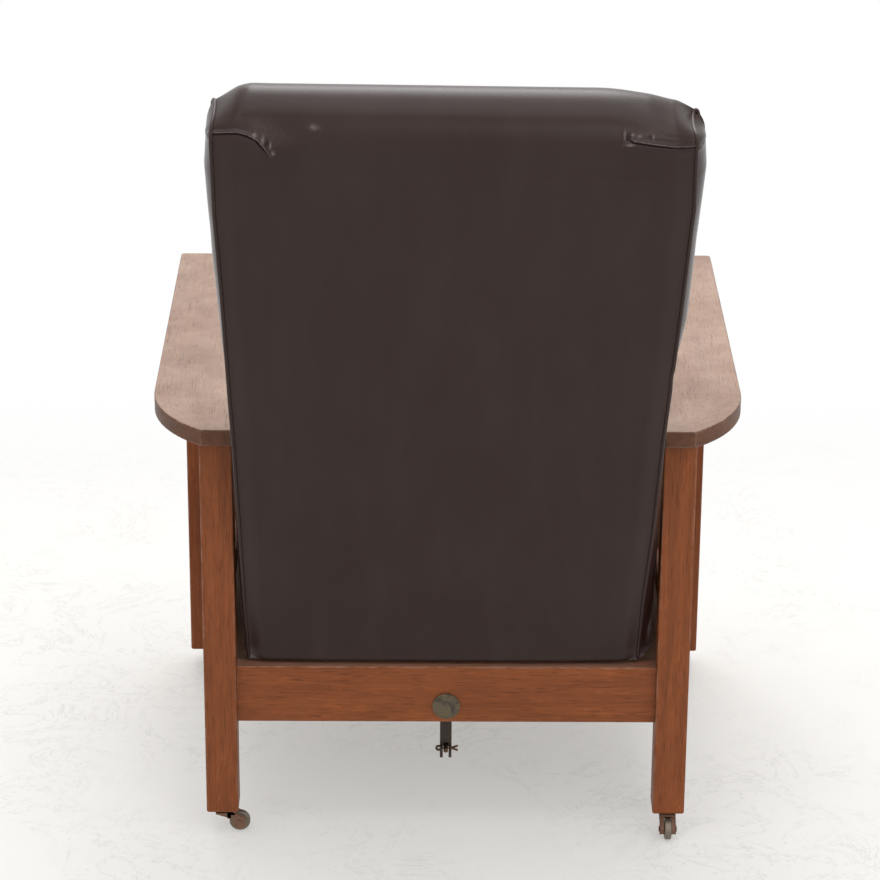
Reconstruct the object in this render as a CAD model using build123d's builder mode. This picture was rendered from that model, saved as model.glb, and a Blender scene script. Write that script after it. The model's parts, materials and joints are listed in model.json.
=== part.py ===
from build123d import *
from math import atan2, cos, pi, radians, sin, sqrt, tan
import os

# Mission reclining armchair: +Z up, the front of the chair towards -Y, millimetres.
# Depths are measured forward from the rear face of the rear legs.

# Main timber sizes
arm_span = 740.0
arm_top_height = 575.0
arm_thickness = 22.0
arm_front_depth = 634.0
arm_rear_overhang = 15.0
arm_outer_arc = 168.0
arm_arc_inset = 66.0
arm_front_rounding = 5.0
arm_edge_rounding = 1.6

rear_leg_size = 41.0
rear_leg_setback = 50.0
front_leg_width = 71.0
front_leg_depth = 64.0
arm_side_overhang = 12.0
arm_front_overhang = 92.0
leg_edge_rounding = 1.8
leg_foot_rounding = 3.6

rail_thickness = 22.0
rail_height = 78.0
rail_top_height = 240.0
rear_rail_recess = 10.0
front_rail_recess = 15.0
tenon_length = 18.0
tenon_thickness = 9.0
tenon_shoulder = 12.0
rail_edge_rounding = 1.0
joint_clearance = 0.05

slat_width = 62.0
slat_thickness = 12.0
slat_count = 4
slat_tenon = 8.0

arm_dowel_radius = 6.0
arm_dowel_length = 30.0
arm_dowel_depth_in_arm = 12.0
arm_dowel_margin = 14.0

# Badge on the rear rail
badge_radius = 17.5
badge_thickness = 2.4
badge_rim = 1.6
badge_dish = 0.7
badge_drop = 55.0
badge_pin_radius = 1.3
badge_pin_reach = 12.5
badge_pin_shank = 8.0

# Seat box, springs and seat pad
seat_rear_clearance = 3.6
seat_front_clearance = 2.0
seat_box_side_clearance = 5.0
seat_board_thickness = 18.0
seat_box_sink = 34.0
seat_box_height = 100.0
cleat_height = 20.0
spring_bar_width = 44.0
spring_bar_height = 8.0
spring_bar_count = 3
springs_per_bar = 3
seat_spring_radius = 30.0
seat_spring_wire = 1.9
seat_spring_turns = 3
seat_pad_side_clearance = 8.0
seat_pad_height = 92.0
seat_pad_crown = 12.0
seat_pad_front_overhang = 4.0
seat_pad_draw = 5.0
seat_pad_corner = 26.0
border_thickness = 5.0
border_rounding = 2.0
soft_clearance = 0.3

# Back: sizes along the back run up it from its lower rear edge
back_lean = 15.0
back_lower_depth = 19.0
back_rail_clearance = 5.0
back_thickness = 105.0
back_length = 816.0
back_crown = 9.0
back_foot_inset = 13.0
back_leg_inset = 4.5
back_arm_inset = 2.7
back_wide_overhang = 20.0
back_leg_station = 130.0
back_arm_station = 365.0
back_wide_station = 690.0
back_roll_rounding = 40.0
back_foot_rounding = 14.0
back_edge_softness = 11.0
seam_foot_inset = 5.0
seam_top_inset = 11.0
rear_panel_thickness = 4.0
back_frame_thickness = 28.0
back_frame_foot = 24.0
back_foot_block_gap = 2.0
foot_block_clearance = 2.0
back_frame_inset = 22.0
back_stile_width = 52.0
back_cross_rail_height = 60.0
back_webbing_thickness = 2.0
back_webbing_width = 58.0
back_webbing_count = 4
back_webbing_margin = 14.5
back_frame_top_margin = 60.0
back_welt_radius = 3.0
welt_end_margin = 8.0
hem_tack_radius = 2.8
hem_tack_height = 1.3
tack_dome_share = 0.8
hem_tack_spacing = 17.2
hem_tack_rise = 5.0

# Recline hinge
recline_range = 26.0
hinge_depth = 26.0
hinge_rise = 16.5
hinge_inset = 75.0
hinge_knuckle_radius = 5.5
hinge_pin_radius = 2.5
hinge_knuckle_length = 14.0
hinge_knuckle_gap = 0.3
hinge_leaf_thickness = 3.0
hinge_leaf_width = 42.0
hinge_leaf_drop = 46.0
hinge_leaf_depth = 22.0
hinge_running_clearance = 0.05
hinge_pin_head_radius = 4.0
hinge_pin_head_length = 2.0
hinge_screw_radius = 4.0
hinge_screw_head = 1.4
hinge_screw_shank_radius = 1.9
hinge_screw_length = 16.0
hinge_screw_drop = 20.0
hinge_screw_reach = 10.0

# Lever bar that hangs from the back, and the draw rod
lever_width = 15.0
lever_thickness = 6.0
lever_station = 27.0
lever_flange_length = 44.0
lever_flange_thickness = 4.0
lever_flange_depth = 22.0
fork_tip = 1.5
fork_slot_width = 7.4
fork_slot_rise = 5.0
lever_screw_radius = 3.6
lever_screw_head = 1.5
lever_screw_shank = 14.0
lever_screw_shank_radius = 1.8
lever_screw_spacing = 28.0

rod_radius = 3.0
rod_drop = 143.0
rod_slope = 8.0
rod_tail = 13.0
rod_nose = 22.0
rod_clearance = 0.5
collar_radius = 7.0
collar_length = 8.0
collar_gap = 6.2
cotter_gap = 6.6
cotter_radius = 1.2
cotter_leg_length = 15.5
cotter_eye_radius = 3.0
cotter_spread = 3.4
cotter_clearance = 0.1
cotter_flat = 1.9
return_spring_radius = 5.2
return_spring_wire = 0.8
return_spring_turns = 20
return_spring_length = 132.0
washer_thickness = 1.6
washer_radius = 9.0

crossbar_thickness = 22.0
crossbar_cleat_gap = 2.0
front_crossbar_setback = 125.0
crossbar_rod_margin = 16.0
clutch_gap = 0.5

clutch_length = 16.0
clutch_width = 13.0
clutch_height = 22.0
clutch_grip_clearance = 0.15
clutch_arm_thickness = 6.0
release_rod_radius = 3.0
release_rod_rise = 14.0
release_rod_overrun = 4.0
button_radius = 8.0
button_length = 14.0
button_travel = 6.0
button_proud = 3.0
button_clearance = 0.08
button_dome = 2.0
bushing_wall = 2.0
bushing_flange_radius = 14.0
bushing_flange_thickness = 2.5
bushing_floor = 2.5
button_spring_wire = 0.6
button_spring_radius = 5.2
button_spring_turns = 4

# Casters
caster_wheel_radius = 13.5
caster_wheel_width = 8.5
caster_wheel_rounding = 1.6
caster_trail = 21.0
caster_axle_radius = 2.4
caster_axle_head_radius = 3.6
caster_axle_head = 1.2
caster_cheek_thickness = 2.2
caster_cheek_clearance = 0.5
caster_cheek_radius = 6.0
caster_web_thickness = 2.4
caster_wheel_clearance = 2.7
caster_stem_radius = 4.0
caster_stem_length = 26.0
caster_hub_radius = 9.0
caster_hub_gap = 0.3
caster_clearance = 0.05
socket_wall = 1.5
socket_flange_radius = 15.0
socket_flange_thickness = 1.6
socket_seat_clearance = 0.05
caster_headings = {"rear_left": 180.0, "rear_right": 90.0, "front_left": 70.0, "front_right": 105.0}

overrun = 2.0

# Worked-out places
leg_foot_height = (
    2 * caster_wheel_radius + caster_wheel_clearance + caster_web_thickness
    + caster_hub_gap + socket_flange_thickness
)
front_leg_half_span = arm_span / 2 - arm_side_overhang
front_leg_rear_depth = arm_front_depth - arm_front_overhang - front_leg_depth
rear_leg_half_span = front_leg_half_span - rear_leg_setback
rear_leg_inner = rear_leg_half_span - rear_leg_size
front_leg_inner = front_leg_half_span - front_leg_width
seat_box_half_width = rear_leg_inner - seat_box_side_clearance
seat_pad_half_width = front_leg_inner - seat_pad_side_clearance
back_foot_half_width = rear_leg_inner - back_foot_inset
back_leg_half_width = rear_leg_inner - back_leg_inset
back_arm_half_width = rear_leg_inner - back_arm_inset
back_wide_half_width = rear_leg_inner + back_wide_overhang
seam_foot_half_width = back_foot_half_width - seam_foot_inset
seam_top_half_width = back_wide_half_width - seam_top_inset
back_lower_height = rail_top_height + back_rail_clearance
hinge_height = rail_top_height + hinge_rise
rod_height_at_lever = hinge_height - rod_drop
badge_height = rail_top_height - badge_drop
seat_box_bottom = rail_top_height - seat_box_sink
lean_sin, lean_cos = sin(radians(back_lean)), cos(radians(back_lean))
roll_radius = back_thickness / 2
roll_station = back_length - roll_radius
roll_centre_depth = back_lower_depth + roll_radius * lean_cos - roll_station * lean_sin
back_overhang = roll_radius - roll_centre_depth
rear_y = (arm_front_depth - back_overhang) / 2

arm_half_span = arm_span / 2
arm_bottom = arm_top_height - arm_thickness
rail_bottom = rail_top_height - rail_height
front_leg_front_depth = front_leg_rear_depth + front_leg_depth
side_rail_outer = rear_leg_half_span
side_rail_inner = side_rail_outer - rail_thickness
rear_rail_front_depth = rear_rail_recess + rail_thickness
front_rail_rear_depth = front_leg_front_depth - front_rail_recess - rail_thickness
seat_rear_depth = back_lower_depth + back_thickness * lean_cos + seat_rear_clearance
seat_front_depth = front_rail_rear_depth - seat_front_clearance
seat_pad_front_depth = front_leg_front_depth + seat_pad_front_overhang
seat_box_top = seat_box_bottom + seat_box_height
sides = {"left": 1, "right": -1}
knuckle_step = hinge_knuckle_length + hinge_knuckle_gap
knuckle_reach = knuckle_step + hinge_knuckle_length / 2
hinge_middles = [hinge_inset - rear_leg_inner, rear_leg_inner - hinge_inset]
hinge_screw_places = [m + d for m in hinge_middles for d in (-hinge_screw_reach, hinge_screw_reach)]
rail_leaf_screw_height = rail_top_height - hinge_screw_drop

os.makedirs("parts", exist_ok=True)


def at_depth(depth):
    """Y of a place measured forward from the rear legs' rear face."""
    return rear_y - depth


def save(piece, name):
    """Label a finished sub-part and write it."""
    piece.part.label = name
    export_step(piece.part, f"parts/{name}.step")


def board(x_range, depth_range, z_range):
    """A straight timber between two X, two depths and two heights."""
    width = x_range[1] - x_range[0]
    run = depth_range[1] - depth_range[0]
    middle = (sum(x_range) / 2, at_depth(sum(depth_range) / 2))
    with BuildPart() as piece:
        with BuildSketch(Plane.XY.offset(z_range[0])):
            with Locations(middle):
                Rectangle(width, run)
        extrude(amount=z_range[1] - z_range[0])
    return piece


def span(side, inner, outer):
    """The X range of a piece on the left (1) or right (-1) side."""
    return tuple(sorted((side * inner, side * outer)))


def box_plane(x, depth, z):
    """A level plane at a place in the chair."""
    return Plane(origin=(x, at_depth(depth), z))


# Rear rail with a tenon on each end
tenon_height = rail_height - 2 * tenon_shoulder
tenon_foot = rail_bottom + tenon_shoulder
mortise_foot = tenon_foot - joint_clearance
mortise_height = tenon_height + 2 * joint_clearance
rear_rail_middle = rear_rail_recess + rail_thickness / 2
with BuildPart() as rear_rail:
    with BuildSketch(box_plane(0, rear_rail_middle, rail_bottom)):
        Rectangle(2 * rear_leg_inner, rail_thickness)
    extrude(amount=rail_height)
    fillet(rear_rail.edges().filter_by(Axis.X), rail_edge_rounding)
    with BuildSketch(box_plane(0, rear_rail_middle, tenon_foot)):
        Rectangle(2 * (rear_leg_inner + tenon_length), tenon_thickness)
    extrude(amount=tenon_height)
    with BuildSketch(Plane.XZ.offset(-at_depth(rear_rail_recess))):
        with Locations((-badge_pin_reach, badge_height), (badge_pin_reach, badge_height)):
            Circle(badge_pin_radius + joint_clearance)
    extrude(amount=badge_pin_shank + joint_clearance, mode=Mode.SUBTRACT)
    with BuildSketch(Plane.XZ.offset(-at_depth(rear_rail_front_depth))):
        with Locations(*[(x, rail_leaf_screw_height) for x in hinge_screw_places]):
            Circle(hinge_screw_shank_radius + joint_clearance)
    extrude(amount=-hinge_screw_length, mode=Mode.SUBTRACT)
save(rear_rail, "rear_rail")

# Front rail between the front legs
front_rail_middle = front_rail_rear_depth + rail_thickness / 2
with BuildPart() as front_rail:
    with BuildSketch(box_plane(0, front_rail_middle, rail_bottom)):
        Rectangle(2 * front_leg_inner, rail_thickness)
    extrude(amount=rail_height)
    fillet(front_rail.edges().filter_by(Axis.X), rail_edge_rounding)
    with BuildSketch(box_plane(0, front_rail_middle, tenon_foot)):
        Rectangle(2 * (front_leg_inner + tenon_length), tenon_thickness)
    extrude(amount=tenon_height)
save(front_rail, "front_rail")

# Side rails, with mortises for the slats and a bore for the button on the right
side_rail_middle = side_rail_outer - rail_thickness / 2
rail_run_middle = (rear_leg_size + front_leg_rear_depth) / 2
rail_run = front_leg_rear_depth - rear_leg_size
slat_gap = (rail_run - slat_count * slat_width) / (slat_count + 1)
slat_pitch = slat_width + slat_gap
slat_depths = [rear_leg_size - slat_width / 2 + slat_pitch * (n + 1) for n in range(slat_count)]

# The draw rod's line: from its place at the lever, sloping up towards the front
lever_depth = (
    back_lower_depth + lever_station * lean_cos
    - (back_frame_foot - lever_flange_thickness / 2) * lean_sin
)
rod_plane = Plane(
    origin=(0, at_depth(lever_depth), rod_height_at_lever),
    x_dir=(1, 0, 0),
    z_dir=(0, -cos(radians(rod_slope)), sin(radians(rod_slope))),
)
slope_cos, slope_tan = cos(radians(rod_slope)), tan(radians(rod_slope))
lever_offset = lever_depth - hinge_depth
fork_drop = hinge_height - rod_height_at_lever


def fork_reach(recline):
    """How far down the lever the rod's line crosses it, for a recline in degrees."""
    turn_sin, turn_cos = sin(radians(recline)), cos(radians(recline))
    rise = lever_offset * turn_sin + lever_offset * (1 - turn_cos) * slope_tan
    return (fork_drop + rise) / (turn_cos + turn_sin * slope_tan)


full_sin, full_cos = sin(radians(recline_range)), cos(radians(recline_range))
lever_end_height = hinge_height - fork_reach(recline_range) - rod_radius - fork_tip
draw_travel = (fork_reach(recline_range) * full_sin - lever_offset * (1 - full_cos)) / slope_cos
print("draw rod travel", round(draw_travel, 2))


def rod_height(depth):
    """Height of the rod's line at a depth in the chair."""
    return rod_height_at_lever + (depth - lever_depth) * slope_tan


spring_seat_reach = collar_gap + collar_length + return_spring_length + washer_thickness
rear_crossbar_depth = (
    lever_depth + spring_seat_reach * slope_cos + washer_radius * slope_tan + joint_clearance
)
front_crossbar_depth = front_rail_rear_depth - front_crossbar_setback
rod_reach = (front_crossbar_depth + crossbar_thickness + rod_nose - lever_depth) / slope_cos
clutch_depth = front_crossbar_depth - clutch_length / 2 - clutch_gap
clutch_rod_height = rod_height(clutch_depth)
crossbar_top = seat_box_bottom - cleat_height - crossbar_cleat_gap
release_rod_height = rail_bottom + release_rod_rise
bushing_outer = button_radius + button_clearance + bushing_wall

dowel_bore_in_leg = arm_dowel_length - arm_dowel_depth_in_arm + joint_clearance
all_dowel_places = []

for name, side in sides.items():
    with BuildPart() as side_rail:
        with BuildSketch(box_plane(side * side_rail_middle, rail_run_middle, rail_bottom)):
            Rectangle(rail_thickness, rail_run)
        extrude(amount=rail_height)
        fillet(side_rail.edges().filter_by(Axis.Y), rail_edge_rounding)
        with BuildSketch(box_plane(side * side_rail_middle, rail_run_middle, tenon_foot)):
            Rectangle(tenon_thickness, rail_run + 2 * tenon_length)
        extrude(amount=tenon_height)
        with BuildSketch(Plane.XY.offset(rail_top_height - slat_tenon - joint_clearance)):
            with Locations(*[(side * side_rail_middle, at_depth(d)) for d in slat_depths]):
                Rectangle(slat_thickness + 2 * joint_clearance, slat_width + 2 * joint_clearance)
        extrude(amount=slat_tenon + overrun, mode=Mode.SUBTRACT)
        if name == "right":
            with BuildSketch(Plane.YZ.offset(-side_rail_outer - overrun)):
                with Locations((at_depth(clutch_depth), release_rod_height)):
                    Circle(bushing_outer + joint_clearance)
            extrude(amount=rail_thickness + 2 * overrun, mode=Mode.SUBTRACT)
    save(side_rail, f"side_rail_{name}")

    # Slats between the side rail and the arm
    with BuildPart() as slats:
        with BuildSketch(Plane.XY.offset(rail_top_height - slat_tenon)):
            with Locations(*[(side * side_rail_middle, at_depth(d)) for d in slat_depths]):
                Rectangle(slat_thickness, slat_width)
        extrude(amount=arm_bottom - rail_top_height + slat_tenon)
        fillet(slats.edges().filter_by(Axis.Z), rail_edge_rounding)
    save(slats, f"side_slats_{name}")

    # Rear leg, mortised for the rear and side rails and bored for its caster
    leg_x = side * (rear_leg_half_span - rear_leg_size / 2)
    socket_bore = caster_stem_radius + caster_clearance + socket_wall + socket_seat_clearance
    with BuildPart() as rear_leg:
        with BuildSketch(box_plane(leg_x, rear_leg_size / 2, leg_foot_height)):
            Rectangle(rear_leg_size, rear_leg_size)
        extrude(amount=arm_bottom - leg_foot_height)
        fillet(rear_leg.edges().filter_by(Axis.Z), leg_edge_rounding)
        fillet(rear_leg.faces().sort_by(Axis.Z)[0].edges(), leg_foot_rounding)
        mortise_x = side * (rear_leg_inner + tenon_length / 2)
        with BuildSketch(box_plane(mortise_x, rear_rail_middle, mortise_foot)):
            Rectangle(tenon_length + 2 * joint_clearance, tenon_thickness + 2 * joint_clearance)
        extrude(amount=mortise_height, mode=Mode.SUBTRACT)
        side_mortise_depth = rear_leg_size - tenon_length / 2
        with BuildSketch(box_plane(side * side_rail_middle, side_mortise_depth, mortise_foot)):
            Rectangle(tenon_thickness + 2 * joint_clearance, tenon_length + 2 * joint_clearance)
        extrude(amount=mortise_height, mode=Mode.SUBTRACT)
        with BuildSketch(box_plane(leg_x, rear_leg_size / 2, leg_foot_height)):
            Circle(socket_bore)
        extrude(amount=caster_stem_length, mode=Mode.SUBTRACT)
        with BuildSketch(box_plane(leg_x, rear_leg_size / 2, arm_bottom)):
            Circle(arm_dowel_radius + joint_clearance)
        extrude(amount=-dowel_bore_in_leg, mode=Mode.SUBTRACT)
    save(rear_leg, f"rear_leg_{name}")

    # Front leg, wider than the rear one
    front_leg_x = side * (front_leg_half_span - front_leg_width / 2)
    front_leg_middle = front_leg_rear_depth + front_leg_depth / 2
    dowel_spread = front_leg_width / 2 - arm_dowel_margin
    with BuildPart() as front_leg:
        with BuildSketch(box_plane(front_leg_x, front_leg_middle, leg_foot_height)):
            Rectangle(front_leg_width, front_leg_depth)
        extrude(amount=arm_bottom - leg_foot_height)
        fillet(front_leg.edges().filter_by(Axis.Z), leg_edge_rounding)
        fillet(front_leg.faces().sort_by(Axis.Z)[0].edges(), leg_foot_rounding)
        front_mortise_x = side * (front_leg_inner + tenon_length / 2)
        with BuildSketch(box_plane(front_mortise_x, front_rail_middle, mortise_foot)):
            Rectangle(tenon_length + 2 * joint_clearance, tenon_thickness + 2 * joint_clearance)
        extrude(amount=mortise_height, mode=Mode.SUBTRACT)
        side_mortise_depth = front_leg_rear_depth + tenon_length / 2
        with BuildSketch(box_plane(side * side_rail_middle, side_mortise_depth, mortise_foot)):
            Rectangle(tenon_thickness + 2 * joint_clearance, tenon_length + 2 * joint_clearance)
        extrude(amount=mortise_height, mode=Mode.SUBTRACT)
        with BuildSketch(box_plane(front_leg_x, front_leg_middle, leg_foot_height)):
            Circle(socket_bore)
        extrude(amount=caster_stem_length, mode=Mode.SUBTRACT)
        with BuildSketch(box_plane(front_leg_x, front_leg_middle, arm_bottom)):
            with Locations((-dowel_spread, 0), (dowel_spread, 0)):
                Circle(arm_dowel_radius + joint_clearance)
        extrude(amount=-dowel_bore_in_leg, mode=Mode.SUBTRACT)
    save(front_leg, f"front_leg_{name}")

    # Arm: a flat board whose rear outer corner is one large arc
    dowel_places = [
        (leg_x, at_depth(rear_leg_size / 2)),
        (front_leg_x - dowel_spread, at_depth(front_leg_middle)),
        (front_leg_x + dowel_spread, at_depth(front_leg_middle)),
    ]
    arc_rear_x = arm_half_span - arm_arc_inset
    arc_rise = sqrt(arm_outer_arc**2 - (arm_outer_arc - arm_arc_inset) ** 2)
    arc_turn = atan2(arc_rise, arm_outer_arc - arm_arc_inset) / 2
    arc_centre = (arm_half_span - arm_outer_arc, at_depth(-arm_rear_overhang + arc_rise))
    arc_middle_x = arc_centre[0] + arm_outer_arc * cos(arc_turn)
    arc_middle_y = arc_centre[1] + arm_outer_arc * sin(arc_turn)
    arm_rear_y = at_depth(-arm_rear_overhang)
    arm_front_y = at_depth(arm_front_depth)
    with BuildPart() as arm:
        with BuildSketch(Plane.XY.offset(arm_bottom)):
            with BuildLine():
                Line((side * rear_leg_inner, arm_front_y), (side * arm_half_span, arm_front_y))
                Line((side * arm_half_span, arm_front_y), (side * arm_half_span, arc_centre[1]))
                ThreePointArc(
                    (side * arm_half_span, arc_centre[1]),
                    (side * arc_middle_x, arc_middle_y),
                    (side * arc_rear_x, arm_rear_y),
                )
                Line((side * arc_rear_x, arm_rear_y), (side * rear_leg_inner, arm_rear_y))
                Line((side * rear_leg_inner, arm_rear_y), (side * rear_leg_inner, arm_front_y))
            make_face()
            front_corner = vertices().group_by(Axis.Y)[0]
            fillet(front_corner, arm_front_rounding)
        extrude(amount=arm_thickness)
        fillet(arm.faces().sort_by(Axis.Z)[-1].edges(), arm_edge_rounding)
        fillet(arm.faces().sort_by(Axis.Z)[0].edges(), arm_edge_rounding)
        with BuildSketch(Plane.XY.offset(arm_bottom)):
            with Locations(*dowel_places):
                Circle(arm_dowel_radius + joint_clearance)
        extrude(amount=arm_dowel_depth_in_arm + joint_clearance, mode=Mode.SUBTRACT)
    save(arm, f"arm_{name}")

    all_dowel_places += dowel_places

with BuildPart() as arm_dowels:
    with BuildSketch(Plane.XY.offset(arm_bottom + arm_dowel_depth_in_arm - arm_dowel_length)):
        with Locations(*all_dowel_places):
            Circle(arm_dowel_radius)
    extrude(amount=arm_dowel_length)
save(arm_dowels, "arm_dowels")

# Cleats inside the side rails, which carry the seat box
with BuildPart() as seat_cleats:
    cleat_run = front_rail_rear_depth - rear_leg_size
    cleat_width = side_rail_inner - seat_box_half_width + seat_board_thickness
    with BuildSketch(box_plane(0, rear_leg_size + cleat_run / 2, seat_box_bottom - cleat_height)):
        with Locations((cleat_width / 2 - side_rail_inner, 0), (side_rail_inner - cleat_width / 2, 0)):
            Rectangle(cleat_width, cleat_run)
    extrude(amount=cleat_height)
save(seat_cleats, "seat_cleats")

# Badge: a dished disc held by two pins
badge_y = at_depth(rear_rail_recess)
with BuildPart() as badge:
    with BuildSketch(Plane.XZ.offset(-badge_y)):
        with Locations((0, badge_height)):
            Circle(badge_radius)
    extrude(amount=-badge_thickness)
    with BuildSketch(Plane.XZ.offset(-badge_y - badge_thickness)):
        with Locations((0, badge_height)):
            Circle(badge_radius - badge_rim)
    extrude(amount=badge_dish, mode=Mode.SUBTRACT)
    with BuildSketch(Plane.XZ.offset(-badge_y)):
        with Locations((-badge_pin_reach, badge_height), (badge_pin_reach, badge_height)):
            Circle(badge_pin_radius + joint_clearance)
    extrude(amount=-badge_thickness, mode=Mode.SUBTRACT)
save(badge, "badge_disc")

with BuildPart() as badge_pins:
    with BuildSketch(Plane.XZ.offset(-badge_y + badge_pin_shank)):
        with Locations((-badge_pin_reach, badge_height), (badge_pin_reach, badge_height)):
            Circle(badge_pin_radius)
    extrude(amount=-(badge_pin_shank + badge_thickness))
save(badge_pins, "badge_pins")

# Seat box: four boards on the cleats
inner_half_width = seat_box_half_width - seat_board_thickness
box_z = (seat_box_bottom, seat_box_top)
save(board((-seat_box_half_width, seat_box_half_width),
           (seat_rear_depth, seat_rear_depth + seat_board_thickness), box_z), "seat_box_rear")
save(board((-seat_box_half_width, seat_box_half_width),
           (seat_front_depth - seat_board_thickness, seat_front_depth), box_z), "seat_box_front")
for name, side in sides.items():
    save(board(span(side, inner_half_width, seat_box_half_width),
               (seat_rear_depth + seat_board_thickness, seat_front_depth - seat_board_thickness),
               box_z), f"seat_box_{name}")

# Spring bars across the seat box and the coil springs that stand on them
inner_run = seat_front_depth - seat_rear_depth - 2 * seat_board_thickness
bar_pitch = inner_run / spring_bar_count
bars_start = seat_rear_depth + seat_board_thickness
bar_depths = [bars_start + bar_pitch * (n + 0.5) for n in range(spring_bar_count)]
with BuildPart() as spring_bars:
    with BuildSketch(Plane.XY.offset(seat_box_bottom)):
        with Locations(*[(0, at_depth(d)) for d in bar_depths]):
            Rectangle(2 * inner_half_width, spring_bar_width)
    extrude(amount=spring_bar_height)
save(spring_bars, "spring_bars")


def coil(plane, radius, wire, turns, length):
    """An open coil about a plane's Z axis: a tube swept on half-turn arcs."""
    pitch = length / turns
    half_turns = 2 * turns
    points = []
    for n in range(2 * half_turns + 1):
        angle = pi * n / 2
        height = pitch * angle / (2 * pi)
        points.append(plane.from_local_coords(Vector(radius * cos(angle), radius * sin(angle), height)))
    with BuildPart() as spring:
        with BuildLine() as path:
            for n in range(half_turns):
                ThreePointArc(points[2 * n], points[2 * n + 1], points[2 * n + 2])
        start = Plane(origin=path.line @ 0, z_dir=path.line % 0)
        with BuildSketch(start):
            Circle(wire)
        sweep()
    return spring


def self_gap(radius, wire, turns, length):
    """The least gap between neighbouring turns of a coil."""
    return length / turns * cos(atan2(length / turns, 2 * pi * radius)) - 2 * wire


spring_pitch_x = 2 * inner_half_width / springs_per_bar
spring_foot = seat_box_bottom + spring_bar_height + seat_spring_wire + joint_clearance
spring_free = seat_box_top - spring_foot - seat_spring_wire - soft_clearance
spring_places = [
    (spring_pitch_x * (column - (springs_per_bar - 1) / 2), depth)
    for depth in bar_depths
    for column in range(springs_per_bar)
]
seat_springs = [
    coil(
        box_plane(x, depth, spring_foot),
        seat_spring_radius,
        seat_spring_wire,
        seat_spring_turns,
        spring_free,
    )
    for x, depth in spring_places
]
with BuildPart() as seat_spring_group:
    for spring in seat_springs:
        add(spring.part)
save(seat_spring_group, "seat_springs")
seat_spring_gap = self_gap(seat_spring_radius, seat_spring_wire, seat_spring_turns, spring_free)
print("seat spring gap", round(seat_spring_gap, 2))

# Seat pad: crowned both ways, its sides drawn in between the corners
pad_rear_y, pad_front_y = at_depth(seat_rear_depth), at_depth(seat_pad_front_depth)
pad_middle_y = (pad_rear_y + pad_front_y) / 2
pad_bottom = seat_box_top + soft_clearance
pad_side = pad_bottom + seat_pad_height - seat_pad_crown
pad_top = pad_bottom + seat_pad_height
with BuildPart() as seat_pad:
    with BuildSketch(Plane.XY.offset(pad_bottom)):
        with BuildLine():
            ThreePointArc(
                (-seat_pad_half_width, pad_front_y),
                (0, pad_front_y + seat_pad_draw),
                (seat_pad_half_width, pad_front_y),
            )
            ThreePointArc(
                (seat_pad_half_width, pad_front_y),
                (seat_pad_half_width - seat_pad_draw, pad_middle_y),
                (seat_pad_half_width, pad_rear_y),
            )
            ThreePointArc(
                (seat_pad_half_width, pad_rear_y),
                (0, pad_rear_y - seat_pad_draw),
                (-seat_pad_half_width, pad_rear_y),
            )
            ThreePointArc(
                (-seat_pad_half_width, pad_rear_y),
                (seat_pad_draw - seat_pad_half_width, pad_middle_y),
                (-seat_pad_half_width, pad_front_y),
            )
        make_face()
        fillet(vertices(), seat_pad_corner)
    extrude(amount=seat_pad_height)
    with BuildSketch(Plane.XZ.offset(-pad_rear_y - overrun)):
        with BuildLine():
            Line((-seat_pad_half_width, pad_side), (-seat_pad_half_width, pad_bottom))
            Line((-seat_pad_half_width, pad_bottom), (seat_pad_half_width, pad_bottom))
            Line((seat_pad_half_width, pad_bottom), (seat_pad_half_width, pad_side))
            ThreePointArc((seat_pad_half_width, pad_side), (0, pad_top), (-seat_pad_half_width, pad_side))
        make_face()
    extrude(amount=pad_rear_y - pad_front_y + 2 * overrun, mode=Mode.INTERSECT)
    with BuildSketch(Plane.YZ.offset(-seat_pad_half_width - overrun)):
        with BuildLine():
            Line((pad_front_y, pad_side), (pad_front_y, pad_bottom))
            Line((pad_front_y, pad_bottom), (pad_rear_y, pad_bottom))
            Line((pad_rear_y, pad_bottom), (pad_rear_y, pad_side))
            ThreePointArc((pad_rear_y, pad_side), (pad_middle_y, pad_top), (pad_front_y, pad_side))
        make_face()
    extrude(amount=2 * (seat_pad_half_width + overrun), mode=Mode.INTERSECT)
save(seat_pad, "seat_pad")

# Leather border that closes the seat box above the front rail
border_bottom = rail_top_height + soft_clearance
border_middle = seat_front_depth + border_thickness / 2 + soft_clearance
with BuildPart() as seat_border:
    with BuildSketch(box_plane(0, border_middle, border_bottom)):
        RectangleRounded(2 * seat_box_half_width, border_thickness, border_rounding)
    extrude(amount=seat_box_top - border_bottom)
save(seat_border, "seat_border")

# Back: all of it is drawn on a plane that leans with it
back_plane = Plane(
    origin=(0, at_depth(back_lower_depth), back_lower_height),
    x_dir=(1, 0, 0),
    z_dir=(0, -lean_cos, lean_sin),
)


def seam_half_width(station):
    """Half the width between the rear seams at a station up the back."""
    return seam_foot_half_width + (seam_top_half_width - seam_foot_half_width) * station / roll_station


def frame_half_width(station):
    """Half the width of the wooden back frame at a station."""
    return seam_half_width(station) - back_frame_inset


def back_station_point(half_width, station, thickness):
    """A point of the chair from its place on the back."""
    return back_plane.from_local_coords(Vector(half_width, station, thickness))


half_outline = [
    (back_foot_half_width, 0),
    (back_leg_half_width, back_leg_station),
    (back_arm_half_width, back_arm_station),
    (back_wide_half_width, back_wide_station),
    (back_wide_half_width, back_length),
]
mirrored_outline = [(-x, s) for x, s in reversed(half_outline)]
frame_top = roll_station - back_frame_top_margin
frame_front = rear_panel_thickness + back_frame_thickness
cross_rail_stations = [
    back_frame_foot,
    (back_frame_foot + frame_top - back_cross_rail_height) / 2,
    frame_top - back_cross_rail_height,
]
webbing_pitch = (frame_top - back_frame_foot) / back_webbing_count
webbing_stations = [back_frame_foot + webbing_pitch * (n + 0.5) for n in range(back_webbing_count)]
side_plane = Plane(origin=back_plane.origin, x_dir=back_plane.y_dir, z_dir=(1, 0, 0))


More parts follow.
